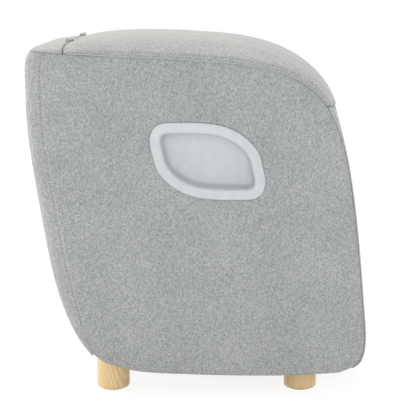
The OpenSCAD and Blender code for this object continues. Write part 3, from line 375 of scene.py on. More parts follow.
def strip_rings(first, last, half_at, under, gaps, fullness, step):
    """The rings of a strip between two knots of the seam, and its seam line. Gaps shorten its two ends. Fullness
    has places along x and, for each, the share of the crown's height that the cover starts with."""
    t = even_steps(seam, first, last, step)
    low, high = at(seam, t), at(crown, t)
    for end, inner, gap in ((0, 1, gaps[0]), (-1, -2, gaps[1])):
        share = gap / np.linalg.norm(low[inner] - low[end])
        for line in (low, high):
            line[end] += (line[inner] - line[end]) * share
    up = unit(high - low)
    rise = np.linalg.norm(high - low, axis=1) * np.interp(low[:, 0], *fullness)
    count = len(arch(half_at(low[-1][0]), step))
    rings = []
    for s, u, h in zip(low, up, rise):
        over = [(y, FIT + share * (h - FIT)) for y, share in arch(half_at(s[0]), step, count)]
        rings.append([(s[0] + u[0] * e, y, s[1] + u[1] * e) for y, e in over + under(half_at(s[0]))])
    return rings, low


def flat_under(half):
    return [(y, FIT) for y in np.linspace(half, -half, FLAT_COUNT)[1:-1]]


def pocket_under(half):
    """The underside with the pocket that the lid's board is glued into."""
    rim = [(y, FIT) for y in np.linspace(half, POCKET_HALF, RIM_COUNT)[1:]]
    roof = [(y, LID_BOARD + FIT) for y in np.linspace(POCKET_HALF, -POCKET_HALF, ROOF_COUNT)]
    return rim + roof + [(-y, e) for y, e in rim[::-1]]


print("a section has", len(arch(SIDE_FACE - SINK)), "points over the padding")

# %% [markdown]
# ## Padding as a cloth bag
# A cover is fabric pulled over foam and held at its seams. Cloth simulation gives that look: the points on seams
# and on boards are held, the rest is blown up from inside with no gravity, and the fabric finds its own fullness
# between the seams. No point may move further than a cap, because the foam keeps its shape.

# %% Swelling
FRAMES, PRESSURE = 20, 4.0
CLOTH = {"quality": 5, "mass": 0.25, "tension_stiffness": 30, "compression_stiffness": 30, "bending_stiffness": 2,
         "vertex_group_mass": "held", "use_pressure": True, "uniform_pressure_force": PRESSURE}
simulated_seconds = 0.0


def points_of(data):
    co = np.empty(len(data.vertices) * 3)
    data.vertices.foreach_get("co", co)
    return co.reshape(-1, 3)


def set_points(data, co):
    data.vertices.foreach_set("co", co.ravel())
    data.update()


def swell(piece, held, cap):
    """Blows a closed cover up; held is true for points that stay, cap is in millimetres."""
    global simulated_seconds
    started = time.time()
    rest = points_of(piece.data)
    group = piece.vertex_groups.new(name="held")
    group.add([int(i) for i in np.flatnonzero(held)], 1.0, "REPLACE")
    cloth = piece.modifiers.new("cloth", "CLOTH")
    for setting, value in CLOTH.items():
        setattr(cloth.settings, setting, value)
    cloth.settings.effector_weights.gravity = 0
    cloth.collision_settings.use_collision = False
    cloth.point_cache.frame_start, cloth.point_cache.frame_end = 1, FRAMES
    for frame_number in range(1, FRAMES + 1):
        scene.frame_set(frame_number)
    shown = piece.evaluated_get(bpy.context.evaluated_depsgraph_get())
    moved = points_of(shown.data) - rest
    far = np.linalg.norm(moved, axis=1, keepdims=True) + 1e-12
    piece.modifiers.remove(cloth)
    piece.vertex_groups.clear()
    set_points(piece.data, rest + moved * (cap * MM * np.tanh(far / (cap * MM)) / far))
    scene.frame_set(1)
    took = time.time() - started
    simulated_seconds += took
    print(piece.name, "moved", round(float(far.max()) / MM, 1), "mm before the cap of", cap, "mm; took",
          round(took, 1), "s")


# %% [markdown]
# ## Room for the hinges
# The hinges' knuckles lie in the lid's rear parting line, where two covers meet. Upholstery is cut back there. So
# the points that come too near to a knuckle are pressed away from its pin.

# %% Room for the hinges
PIN = np.array([-171.16, 457.545])  # the pins' line in the side view
KNUCKLE_ROOM, KNUCKLES = 3.4, (64.0, 116.0)  # room round it, and where the knuckles lie across the stool


def clear_knuckles(piece):
    """Presses the cover back round the hinges' knuckles."""
    co = points_of(piece.data) / MM
    across = np.abs(co[:, 1])
    away = co[:, [0, 2]] - PIN
    far = np.linalg.norm(away, axis=1, keepdims=True) + 1e-9
    pressed = (across > KNUCKLES[0]) & (across < KNUCKLES[1]) & (far[:, 0] < KNUCKLE_ROOM)
    co[:, [0, 2]] = np.where(pressed[:, None], PIN + away / far * KNUCKLE_ROOM, co[:, [0, 2]])
    set_points(piece.data, co * MM)
    print(piece.name, "has", int(pressed.sum()), "points pressed back at the knuckles")


# %% [markdown]
# ## The lid's cushion
# The lid is one padded band that runs from the back over the top and down to the front. Its board is glued into a
# pocket underneath. The points of the underside and of the two long seams are held, and the top swells. It starts
# lower than the crown line, most of all over the middle, where the fabric of a soft pad sinks in when it is sat on.

# %% Lid cushion
LID_SWELL, HALF_GAP = 3.0, PARTING / 2
LID_FULLNESS = ((-190, -150, -100, 0, 60, 110, 150, 185), (0.90, 0.86, 0.80, 0.79, 0.87, 0.97, 1.07, 1.07))


def full_half(x):
    """Half the width of a strip that reaches both side panels."""
    return SIDE_FACE - SINK


def soft_strip(name, node_name, body, knots, gaps, fullness, swelling, kept, half_at=full_half, under=flat_under,
               step=STEP):
    """A padded strip along the seam, and its points to a ring. kept is the share of the height up to which the
    edges are held, and how many rings are held at each end."""
    rings, low = strip_rings(*knots, half_at, under, gaps, fullness, step)
    piece = cover(name, ring_mesh(name, rings), body, "lid_fabric", node_name)
    over = arch(half_at(low[-1][0]), step)[:, 1]
    count = len(rings[0])
    held = np.tile(np.r_[over < kept[0], np.ones(count - len(over), bool)], len(rings) + 2 * len(END_SHARES))
    held[:kept[1] * count] = held[-kept[1] * count:] = True
    swell(piece, held, swelling)
    clear_knuckles(piece)
    print(name, len(piece.data.vertices), "points")
    return piece, count


lid_cushion, lid_ring = soft_strip("padded_lid", "lid_cushion", "lid", (LIP_END, FRONT_START), (HALF_GAP, HALF_GAP),
                                   LID_FULLNESS, LID_SWELL, (0.35, 3), under=pocket_under)

# %% [markdown]
# ## The front cover and the rear lip
# The front cover goes on where the lid ends and runs down and under the front, and a narrow lip closes the top at
# the back. Both are the same kind of band as the lid. The lip gets narrower where it turns down over the rounded
# rear corners.

# %% Front cover and lip
CORNER_R, LIP_OUT = 22.0, 1.0  # the rear corners' radius; the lip is cut as if it lay this much further in
FRONT_SWELL, FRONT_FULLNESS = 1.6, ((150, 200), (1.0, 0.78))
LIP_SWELL, LIP_FULLNESS, LIP_STEP = 1.5, ((0,), (0.96,)), 4.0


def lip_half(x):
    """Half the lip's width over the rounded rear corners."""
    d = min(max(x + LIP_OUT - rear[0][0], 0.0), CORNER_R)
    return SIDE_FACE - SINK - CORNER_R + math.sqrt(CORNER_R ** 2 - (CORNER_R - d) ** 2)


front_cover, front_ring = soft_strip("padded_front", "front_cover", "body", (FRONT_START, FRONT_END), (0.0, 0.0),
                                     FRONT_FULLNESS, FRONT_SWELL, (0.4, 4))
rear_lip, lip_ring = soft_strip("padded_rear_lip", "rear_lip", "body", (0, LIP_END), (0.0, HALF_GAP), LIP_FULLNESS,
                                LIP_SWELL, (0.4, 4), half_at=lip_half, step=LIP_STEP)

# %% [markdown]
# ## The back
# The back's padding wraps round both rear corners and ends in a seam on each side. Its section is a shallow tray:
# straight across the back, a quarter turn of 22 mm at each corner, and an inner face against the boards. The
# sections follow the back's line down to the base, where the padding runs out.

# %% Rear cover
START_IN = 0.6  # the fabric starts this much inside the back's line and swells out to it
TUCK = 0.7  # how far the wrapped edge goes under the side panel's
REAR_SIDE = SIDE_FACE - 0.2  # its sides lie just under the panels' face
FOLDED, CORNER, ACROSS, INNER = 4, 9, 60, 40  # points of a section: edge, corner, the back, the inside
REAR_SWELL = 2.5
LEVEL_TO, BENT_FROM = 1.4, 2.6  # knots of the back's line between which its sections begin to lean
INLET, INLET_ROOM = np.array([-181.54, 0.0, 135.98]), 46.0  # the fabric is stapled flat round the inlet


def back_line_at(t):
    """Points of the back's line and the direction into the stool, level at the top."""
    line = at(rear, t)
    bent = np.clip((t - LEVEL_TO) / (BENT_FROM - LEVEL_TO), 0, 1)[:, None]
    return line, unit(left_of(line) * bent + np.array([1.0, 0.0]) * (1 - bent))


def rear_section(pad, wrap):
    """One section: distance into the stool, and place across it."""
    turn = np.linspace(0, math.pi / 2, CORNER)
    depth, width = wrap - FIT, REAR_SIDE - wrap
    corner = [(depth - (depth - START_IN) * math.sin(a), REAR_SIDE - wrap * (1 - math.cos(a))) for a in turn]
    across = [(START_IN, y) for y in np.linspace(width, -width, ACROSS + 2)[1:-1]]
    folded = [(depth, BOARD_OUT + FIT), (depth, BOARD_OUT + 5), (wrap + TUCK, REAR_SIDE - 3),
              (wrap + TUCK, REAR_SIDE - 0.7)]
    inner = [(pad - FIT, y) for y in np.linspace(-BOARD_OUT - FIT, BOARD_OUT + FIT, INNER)]
    return folded + corner + across + [(d, -y) for d, y in (folded + corner)[::-1]] + inner


t = even_steps(rear, 0, len(REAR) - 1, STEP)
back_rings = [[(p[0] + n[0] * d, y, p[1] + n[1] * d) for d, y in rear_section(pad, wrap)]
              for p, n, pad, wrap in zip(*back_line_at(t), at(REAR_PAD, t), at(REAR_WRAP, t))]
rear_cover = cover("padded_rear", ring_mesh("padded_rear", back_rings, end_shares=(0.99,)), "body", "side_fabric",
                   "rear_cover")
rear_ring = len(back_rings[0])
free = np.zeros(rear_ring, bool)
free[FOLDED + CORNER // 2:FOLDED + CORNER + ACROSS + CORNER // 2] = True
held = ~np.tile(free, len(back_rings) + 2)
held[:3 * rear_ring] = held[-3 * rear_ring:] = True
held |= np.linalg.norm(points_of(rear_cover.data) / MM - INLET, axis=1) < INLET_ROOM
swell(rear_cover, held, REAR_SWELL)
print("padded_rear", len(rear_cover.data.vertices), "points")

# %% [markdown]
# ## The side panels
# A side panel is one flat cut of fabric over foam, with a rolled edge at the seam and an opening for the handle.
# Its outline is free-form, so its inside is filled with an even net of triangles (a Delaunay net), which keeps
# the outline and the opening exact and lets the cloth swell evenly. The far side is the mirror image.

# %% Closed loops
def spread(points, count):
    """A number of points spread evenly along a closed loop."""
    closed = np.vstack([points, points[:1]])
    run = run_along(closed)
    return picked(closed, run, np.linspace(0, run[-1], count, endpoint=False))


def even_loop(points, step):
    """Points along a closed loop, about step mm apart."""
    return spread(points, int(round(run_along(np.vstack([points, points[:1]]))[-1] / step)))


def inset_loop(points, d):
    """A closed loop, drawn clockwise, moved inwards by d."""
    t = unit(np.roll(points, -1, axis=0) - np.roll(points, 1, axis=0))
    return points + np.stack([t[:, 1], -t[:, 0]], axis=1) * d


def inside(points, loop):
    """Which points lie inside a loop: a line to the side crosses it an odd number of times."""
    hit = np.zeros(len(points), bool)
    for a, b in zip(loop, np.roll(loop, -1, axis=0)):
        cross = (a[1] > points[:, 1]) != (b[1] > points[:, 1])
        hit ^= cross & (points[:, 0] < (b[0] - a[0]) * (points[:, 1] - a[1]) / (b[1] - a[1] + 1e-12) + a[0])
    return hit


HANDLE = [(-0.5035, 0.235), (-0.5, 0.32), (-0.478, 0.408), (-0.438, 0.467), (-0.377, 0.496), (-0.29, 0.501),
          (-0.0655, 0.497), (0.148, 0.449), (0.3207, 0.316), (0.438, 0.122), (0.486, -0.112)]
HANDLE_SIZE = np.array([145.0, 98.0])
HANDLE_CENTRE = np.array([0.026 * LENGTH, 0.66 * HEIGHT])


def handle_loop(count=144):
    """The handle's outline. Half of it is noted above, the rest is that half turned."""
    knots = np.array(HANDLE + [(-x, -z) for x, z in HANDLE])
    t = np.linspace(0, len(knots), count * 8, endpoint=False)
    smooth = even_loop(at(np.vstack([knots[-2:], knots, knots[:3]]), t + 2) * HANDLE_SIZE, 1.0)
    places = np.linspace(0, len(smooth), count, endpoint=False).astype(int)
    return HANDLE_CENTRE + smooth[places]


CUT_STEP, PANEL_STEP = 5, 4.0  # between two points of a seam line, and of the panel's outline
PANEL_TOP = 1.35  # the seam's knot at the panel's rear top corner
t = even_steps(rear, 0, len(REAR) - 1, CUT_STEP)
back, inward = back_line_at(t)
side_outline = even_loop(np.vstack([at(seam, even_steps(seam, PANEL_TOP, FRONT_END, CUT_STEP)),
                                    at(bottom, even_steps(bottom, 0, len(BOTTOM) - 1, CUT_STEP)),
                                    (back + inward * at(REAR_WRAP, t)[:, None])[::-1]]), PANEL_STEP)
print("side panel outline", len(side_outline), "points; handle", np.ptp(handle_loop(), axis=0).round(1), "mm")

# %% Side panels
# the section at the seam and at the handle's opening: how far in from the edge, and how far out from the middle
EDGE = [(0.15, BOARD_OUT + FIT), (0.15, 192.0), (0.2, 197.5), (0.45, 198.9), (1.2, 199.6), (3.0, 199.95)]
HOLE = [(-1.5, 200.0), (-0.7, 199.7), (0.0, 198.9), (1.2, 198.5), (4.5, 198.5), (4.5, BOARD_OUT + FIT)]
SEAM_OPENS, FADE = (-130.0, 125.0), 25  # the lid seam is pulled shut between these places
LID_EDGE = ((-220, 100, 200, 220), (430, 380, 300, 0))  # what lies above this line is at the lid
BACK_AT, BACK_FADE, BACK_TOP = -60, 40, 438  # where the back begins, its fade, and how high it goes
SHUT, BACK_SHUT = 0.9, 0.85  # how much of the edge's fall is taken away there
NET_STEP, SIDE_SWELL = 6.0, 2.2


def openness(points):
    """How far the panel's edge falls back from its seam: little at the back, nothing in the lid seam's middle."""
    x, z = points[:, 0], points[:, 1]
    shut = np.clip((x - SEAM_OPENS[0]) / FADE, 0, 1) * np.clip((SEAM_OPENS[1] - x) / FADE, 0, 1)
    at_back = np.clip((BACK_AT - x) / BACK_FADE, 0, 1) * (z < BACK_TOP)
    return np.where(z > np.interp(x, *LID_EDGE), 1 - SHUT * shut, 1 - BACK_SHUT * at_back)


def net(outer, hole, spacing):
    """Triangles between two loops, with even points inside; the loops' points come first."""
    flat = [Vector(p) for p in outer] + [Vector(p) for p in hole]
    if spacing:
        low, high = outer.min(axis=0), outer.max(axis=0)
        rows = np.arange(low[1], high[1], spacing * 0.866)  # the height of an even triangle
        cols = np.arange(low[0], high[0], spacing)
        lattice = np.array([(x + (spacing / 2 if i % 2 else 0), z) for i, z in enumerate(rows) for x in cols])
        clear = spacing * 0.7
        keep = inside(lattice, inset_loop(outer, clear)) & ~inside(lattice, inset_loop(hole, -clear))
        flat += [Vector(p) for p in lattice[keep]]
    n, h = len(outer), len(hole)
    edges = [(i, (i + 1) % n) for i in range(n)] + [(n + i, n + (i + 1) % h) for i in range(h)]
    points, _, faces, origin, _, _ = geometry.delaunay_2d_cdt(flat, edges, [], 0, 1e-6)
    middles = np.array([np.mean([points[i] for i in f], axis=0) for f in faces])
    good = inside(middles, outer) & ~inside(middles, hole)
    back_to = [o[0] for o in origin]
    return [tuple(p) for p in flat], [tuple(back_to[i] for i in f) for f, g in zip(faces, good) if g]


def side_panel():
    """Points and faces of the near side, the number of points of its outer net and of the net's two edges."""
    fall = openness(side_outline)[:, None]
    rings = [inset_loop(side_outline, d * fall) for d, _ in EDGE]
    holes = [inset_loop(handle_loop(), d) for d, _ in HOLE]
    n, h = len(side_outline), len(holes[0])
    front_points, faces = net(rings[-1], holes[0], NET_STEP)
    points = [(x, -SIDE_FACE if i >= n else -EDGE[-1][1], z) for i, (x, z) in enumerate(front_points)]
    joined = []
    for start, loops, heights in ((0, rings[-2::-1], EDGE[-2::-1]), (n, holes[1:], HOLE[1:])):
        rows = [list(range(start, start + len(loops[0])))]
        for loop, (_, y) in zip(loops, heights):
            rows.append(list(range(len(points), len(points) + len(loop))))
            points += [(x, -y, z) for x, z in loop]
        faces += [(a[i], a[(i + 1) % len(a)], b[(i + 1) % len(a)], b[i])
                  for a, b in zip(rows, rows[1:]) for i in range(len(a))]
        joined += rows[-1]
    _, back_faces = net(rings[0], holes[-1], 0)
    return points, faces + [tuple(joined[i] for i in f[::-1]) for f in back_faces], len(front_points), n + h


panel_points, panel_faces, front_count, edge_count = side_panel()
panels = []
for name, node_name in (("padded_left_side", "left_side_cover"), ("padded_right_side", "right_side_cover")):
    panels.append(cover(name, mesh_of(name, panel_points, panel_faces), "body", "side_fabric", node_name))
    if len(panels) == 1:  # the second panel is made from the first one's swollen points, mirrored
        held = np.ones(len(panel_points), bool)
        held[edge_count:front_count] = False
        swell(panels[0], held, SIDE_SWELL)
        panel_points = points_of(panels[0].data) / MM * np.array([1, -1, 1])
print("side panel", len(panel_points), "points,", len(panel_faces), "faces; reaches y",
      round(float(panel_points[:, 1].max()), 1))

# %% [markdown]
# ## Piping and stitches
# The lid's lower edge is finished with piping: a thin cord wrapped in the same fabric and sewn into the seam. It
# catches the light from above, which is why the photo shows a pale line over the dark one. The back seam is
# topstitched: two rows of thread hold it flat. A stitch is 3 mm of thread with 1.2 mm between two, thinner at its
# ends, where it dives into the cloth.

# %% Tubes and stitches
def spine_tube(path, radii, sides=8, start=0):
    """Points and faces of a tube round a path, in mm; a radius of nearly nothing closes an end."""
    path = np.asarray(path, float)
    along = unit(np.gradient(path, axis=0))
    across = unit(np.cross(along, [0.0, 0.3, 1.0]))
    up = np.cross(across, along)
    turn = np.linspace(0, 2 * math.pi, sides, endpoint=False)
    points = [tuple(p + r * (math.cos(a) * u + math.sin(a) * v))
              for p, r, u, v in zip(path, radii, across, up) for a in turn]
    return points, loft(sides, len(path), start)


def trim_piece(name, parts, body, slot_name):
    """Many tubes as one piece, on both sides of the stool; parts is a list of (path, radii)."""
    points, faces = [], []
    for path, radii in parts:
        for side in (1, -1):
            more, cells = spine_tube(path * np.array([1, side, 1]), radii, start=len(points))
            points, faces = points + more, faces + cells
    return piece_of(name, mesh_of(name, points, faces), body, slot_name)


def on_side(line, y):
    """A line of the side view, laid at a distance y from the middle."""
    return np.stack([line[:, 0], np.broadcast_to(-y, len(line)), line[:, 1]], axis=1)


def over_seam(t, height):
    """Points at knots of the seam, lifted towards the crown."""
    low = at(seam, t)
    return low + unit(at(crown, t) - low) * height


PIPING_R, PIPING_OVER, PIPING_IN = 0.9, 0.6, 0.75  # its radius, its height over the seam, its sink
PIPING_STEP, CLEAR = 3.0, 0.06  # its steps, and how far before a parting line it ends, in knots


def piping(name, first, last, body, half_at=lambda x: SIDE_FACE):
    line = over_seam(even_steps(seam, first, last, PIPING_STEP), PIPING_OVER)
    radii = np.r_[0.3, 0.8, np.full(len(line) - 4, PIPING_R), 0.8, 0.3]
    return trim_piece(name, [(on_side(line, np.array([half_at(x) - PIPING_IN for x in line[:, 0]])), radii)],
                      body, "lid_fabric")


piping("lid_piping", LIP_END + CLEAR, FRONT_START - CLEAR, "lid")
piping("front_piping", FRONT_START + CLEAR, FRONT_END - 0.2, "body")
piping("lip_piping", 0.6, LIP_END - CLEAR, "body", lambda x: lip_half(x) + SINK)

# %% Stitch rows
STITCH_LENGTH, STITCH_PITCH, THREAD_R = 3.0, 4.2, 0.32
# rows at the back seam: how far beyond it, and how far from the stool's middle
BACK_ROWS = (("rear_topstitch_on_side", 3.0, SIDE_FACE + 0.1), ("rear_topstitch_on_back", -3.0, SIDE_FACE - 0.25))
ROW_STEP, LID_ROW_OVER, LID_ROW_OUT = 3, 4.2, SIDE_FACE - SINK + 0.05


def stitches(name, line, body, slot_name):
    """Stitches along a line of points that lie on the cloth; the same row goes on the other side."""
    run = run_along(line)
    parts = []
    for begin in np.arange(1.0, run[-1] - STITCH_PITCH, STITCH_PITCH):
        places = begin + STITCH_LENGTH * np.array([0, 0.15, 0.5, 0.85, 1.0])
        parts.append((picked(line, run, places), THREAD_R * np.array([0.15, 0.8, 1.0, 0.8, 0.15])))
    trim_piece(name, parts, body, slot_name)["finish_name"] = "polyester_thread"


t = even_steps(rear, 1.0, 8.6, ROW_STEP)
back, inward = back_line_at(t)
for name, off, y in BACK_ROWS:
    stitches(name, on_side(back + inward * (at(REAR_WRAP, t) + off)[:, None], y), "body", "side_fabric")
t = even_steps(seam, LIP_END + 0.1, FRONT_START - 0.1, ROW_STEP)
stitches("lid_topstitch", on_side(over_seam(t, LID_ROW_OVER), LID_ROW_OUT), "lid", "lid_fabric")

# %% [markdown]
# ## The handle cups
# The cup is one plastic moulding. Its rounded rim covers the cut edge of the fabric and the screws' bosses, then
# a narrow step leads into a sloped wall and a flat floor for four fingers. Every edge is round, because sharp ones
# don't leave a mould. So the cup is drawn as closed loops, each a true offset of the last one, at the height that
# the section has there. A loop is moved in by small steps and its points are spread out again each time, which
# keeps the tight corners clean.

# %% Handle cups
CUP_POINTS, LOOP_STEP = 240, 0.8
# how far in from the rim's edge, and how far out from the side's face: over the rim and down into the cup
CUP_RIM = [(0.0, -1.0), (0.0, 0.3), (0.3, 1.0), (1.0, 1.5), (2.4, 1.85), (4.5, 2.25), (6.8, 2.7), (8.8, 3.05),
           (10.2, 3.15), (11.6, 2.8), (12.7, 2.0), (13.5, 0.8), (13.9, -0.8), (14.2, -3.5), (14.5, -8.0),
           (14.8, -14.0), (15.3, -18.5), (16.2, -20.8), (17.8, -22.0), (20.5, -22.6)]
CUP_FLOOR = [(0.86, -22.9), (0.68, -23.4), (0.45, -23.8), (0.2, -24.0)]  # shares of the last loop's size
CUP_BACK = [(1.5, -1.6), (11.4, -1.6), (12.2, -3.5), (12.8, -8.0), (14.3, -19.0), (17.0, -23.8), (21.0, -25.4)]
CUP_UNDER = [(0.8, -26.4), (0.4, -26.8), (0.15, -26.9)]
BOSSES = np.array([(-0.3655, 0.5), (0.438, 0.122), (0.3655, -0.5), (-0.438, -0.122)])
BOSS_INSET, BOSS_SIDES = 8.6, 16
BOSS_RADII = 3.5 * np.array([0.4, 1.0, 1.0, 1.0, 0.6])
BOSS_HEIGHTS = (SIDE_FACE - 1.2, SIDE_FACE - 1.4, 190.0, BOARD_OUT + 0.3, BOARD_OUT + 0.1)


def shrinking_loops(loop, section, floor):
    """Loops with their heights: true offsets for the section, then smaller copies for the floor."""
    done, loops = 0.0, []
    for inset, height in section:
        while inset - done > 1e-6:
            move = min(LOOP_STEP, inset - done)
            loop, done = spread(inset_loop(loop, move), len(loop)), done + move
        loops.append((loop, height))
    middle = loop.mean(axis=0)
    return loops + [(middle + (loop - middle) * share, height) for share, height in floor]


def cup_mesh():
    rim = handle_loop(CUP_POINTS)
    loops = shrinking_loops(rim, CUP_BACK, CUP_UNDER)[::-1] + shrinking_loops(rim, CUP_RIM, CUP_FLOOR)
    points = [(x, -SIDE_FACE - height, z) for loop, height in loops for x, z in loop]
    faces = loft(CUP_POINTS, len(loops))
    for x, z in HANDLE_CENTRE + BOSSES * (HANDLE_SIZE - 2 * BOSS_INSET):
        more, cells = spine_tube([(x, -y, z) for y in BOSS_HEIGHTS], BOSS_RADII, BOSS_SIDES, len(points))
        points, faces = points + more, faces + cells
    return np.array(points), faces


cup_points, cup_faces = cup_mesh()
for name, node_name, side in (("left_grip_cup", "left_handle_cup", 1), ("right_grip_cup", "right_handle_cup", -1)):
    cup = piece_of(name, mesh_of(name, cup_points * np.array([1, side, 1]), cup_faces), "body", "handle_plastic")
    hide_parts(node_name)
print("handle cup", len(cup_points), "points")

# %% [markdown]
# ## The air cells
# An air cell is two sheets of plastic film, welded together round a flat flange and across its middle. Air from
# the pump swells it into two soft pillows, which press on the calf and the foot. The same shrinking loops draw it:
# flat over the flange, steep beside the weld, and round on top. Each cell lies against a wall of its well.

# %% Air cells
WELL_NEAR, WELL_FAR = 24.0, 149.0  # a well's walls, from the stool's middle
CELLS = [((30.8, 333.14), (110, 80)), ((0.0, 206.8), (110, 56))]  # place and size: at the calf, at the foot
CELL_R, CELL_UNDER = 14.0, 0.1  # corners, and the lower film's height
CELL_FILM = [(0, 0.3), (0, 0.75), (0.3, 1.0), (4.6, 1.0), (5.2, 1.5), (6.4, 3.3), (8.2, 5.0), (10.6, 6.2),
             (13.6, 7.1), (17.0, 7.5)]
CELL_TOP = [(0.8, 7.7), (0.55, 7.8), (0.3, 7.8)]
FLANGE, FLANGE_TOP = 1.0, 1.2  # its height, and what counts as flange
WELD, WELD_WIDTH = 0.8, 3.2  # the weld across the middle: depth, width


def rounded_box(middle, size, r, count=168):
    """A clockwise rectangle with round corners."""
    w, h = size[0] / 2 - r, size[1] / 2 - r
    turn = np.linspace(0, math.pi / 2, 12)
    corners = [(sx * w + r * math.cos(a + k * math.pi / 2), sz * h + r * math.sin(a + k * math.pi / 2))
               for k, (sx, sz) in enumerate(((1, 1), (-1, 1), (-1, -1), (1, -1))) for a in turn]
    return spread(np.array(middle) + np.array(corners)[::-1], count)


def air_cell(middle, size):
    """The loops of one cell, as rows of x, height over the wall, and z."""
    edge = rounded_box(middle, size, CELL_R)
    loops = [(middle + (edge - middle) * s, CELL_UNDER) for s in (0.25, 0.55, 0.85, 0.99)]
    for loop, height in loops + shrinking_loops(edge, CELL_FILM, CELL_TOP):
        weld = 1 - WELD * np.exp(-((loop[:, 0] - middle[0]) / WELD_WIDTH) ** 2)
        lift = np.where(height > FLANGE_TOP, FLANGE + (height - FLANGE) * weld, height)
        yield np.column_stack([loop[:, 0], lift, loop[:, 1]])


cell_points, cell_faces = [], []
for middle, size in CELLS:
    loops = list(air_cell(np.array(middle), size))
    for side in (1, -1):
        for wall, facing in ((WELL_NEAR + FIT, 1), (WELL_FAR - FIT, -1)):
            cell_faces += loft(len(loops[0]), len(loops), len(cell_points))
            cell_points += [(x, side * (wall + facing * e), z) for x, e, z in np.concatenate(loops)]
cover("welded_air_cells", mesh_of("welded_air_cells", cell_points, cell_faces), "body", "cell_rubber", "air_cells")
print("air cells", len(cell_points), "points")

# %% [markdown]
# ## The boot liners
# A removable liner of spacer knit hangs in each foot well by a flange that lies on the deck. It is sewn as a boot:
# two sides and one long strip for the back, the sole, the toe and the instep. Every level cut through the boot is
# one rounded rectangle, so the liner is a stack of such loops, first up the outer skin, out over the deck, and back
# down the inner skin. Shallow upright folds keep it from looking like a moulding.

# %% Boot outline
# the corners of the well's side view, clockwise, and the radius of each
WELL = np.array([(104.984, 90.0), (-157.96, 210.1), (-165.88, 262.0), (-64.02, 296.1), (-59.84, 470.0),
                 (130.02, 470.0)])
WELL_ROUND = (30, 18, 22, 30, 14, 14)
LINER_GAP, LINER_T = 10.0, 1.5  # between wall and liner, where the air cells lie, and the knit's thickness


def boot_outline(inset):
    """The well's side view, drawn clockwise, smaller all round, with its corners rounded."""
    along = unit(np.roll(WELL, -1, axis=0) - WELL)
    inward = np.stack([along[:, 1], -along[:, 0]], axis=1)
    outline = []
    for i, corner in enumerate(WELL):
        before, after = inward[i - 1], inward[i]
        moved = np.linalg.solve([before, after], [before @ corner + inset, after @ corner + inset])
        bends_in = -float(np.sign(after @ along[i - 1]))
        r = WELL_ROUND[i] - bends_in * inset
        half_turn = math.acos(float(np.clip(before @ after, -1, 1))) / 2
        centre = moved - along[i - 1] * r * math.tan(half_turn) + bends_in * before * r
        outline += [centre - bends_in * r * unit(before * (1 - f) + after * f) for f in np.linspace(0, 1, 9)]
    return even_loop(np.array(outline), 1.0)


print("boot outline spans", [round(float(v)) for v in np.ptp(boot_outline(LINER_GAP), axis=0)], "mm")

# %% Boot loops
LOOP_POINTS, LEVEL_STEP, LEVEL_FINE = 132, 5.0, 0.25
DECK_DROP, BRIM_DROP, BRIM_AT, BRIM_LOOPS = 14.0, 14.0, 120.0, 5  # the deck under the seam, the brim under it
BOOT_R, HEEL_OVER = 11.0, 0.5
FLANGE_OUT, LINER_OVER = (1.0, 3.0, 7.0, 12.0), 18.0  # loops over the deck, and the last one
FOLD, FOLD_WIDTH, FOLD_BEND = 1.1, 8.5, 31  # the folds: depth, width, how they wander
FADE_HEEL, FADE_BRIM = 60, 50  # the folds fade over these heights


def deck_height(x):
    """The deck's top at a place along the stool: the lid seam, lowered."""
    line = at(seam, even_steps(seam, LIP_END, FRONT_START, 4))
    line = line - left_of(line) * DECK_DROP
    return np.interp(x, line[:, 0], line[:, 1])


def level_span(outline, z):
    """Where a level line goes in and out of the outline."""
    ahead = np.roll(outline, -1, axis=0)
    cuts = (outline[:, 1] > z) != (ahead[:, 1] > z)
    a, b = outline[cuts], ahead[cuts]
    x = a[:, 0] + (b[:, 0] - a[:, 0]) * (z - a[:, 1]) / (b[:, 1] - a[:, 1])
    return x.min(), x.max()


def boot_loops(inset, lift):
    """Loops of one skin (x, y, z), from the heel up to the mouth and out over the deck."""
    outline = boot_outline(inset)
    near, far = WELL_NEAR + inset + FIT, WELL_FAR - inset - FIT
    heel, brim = outline[:, 1].min() + HEEL_OVER, float(deck_height(BRIM_AT)) - BRIM_DROP
    fine = np.arange(heel, brim, LEVEL_FINE)
    spans = np.array([level_span(outline, z) for z in fine])
    run = np.r_[0, np.cumsum(np.abs(np.diff(np.column_stack([fine, spans]), axis=0)).max(axis=1))]
    levels = np.interp(np.linspace(0, run[-1], int(run[-1] / LEVEL_STEP)), run, fine)
    loops = []
    for z in np.r_[levels, np.full(BRIM_LOOPS, brim)]:
        low, high = level_span(outline, z)
        r = min(BOOT_R - (inset - LINER_GAP), (high - low) * 0.45)
        loop = rounded_box(((low + high) / 2, (near + far) / 2), (high - low, far - near), r, LOOP_POINTS)
        hang = np.clip((z - heel) / FADE_HEEL, 0, 1) * np.clip((brim - z) / FADE_BRIM, 0, 1)
        folds = 0.5 + 0.5 * np.sin((loop[:, 0] + 1.7 * loop[:, 1]) / FOLD_WIDTH + 0.6 * math.sin(z / FOLD_BEND))
        loop = inset_loop(loop, (hang * FOLD * folds)[:, None])
        loops.append(np.column_stack([loop, np.full(len(loop), z)]))
    for k, loop in enumerate(loops[-BRIM_LOOPS:]):  # the brim follows the deck's slope
        loop[:, 2] += (deck_height(loop[:, 0]) + lift - loop[:, 2]) * (k / (BRIM_LOOPS - 1) * 0.97)
    mouth = loops[-1][:, :2]
    for over in (*FLANGE_OUT, LINER_OVER - (LINER_GAP - inset)):
        loop = inset_loop(mouth, -over)
        loops.append(np.column_stack([loop, deck_height(loop[:, 0]) + lift]))
    return loops


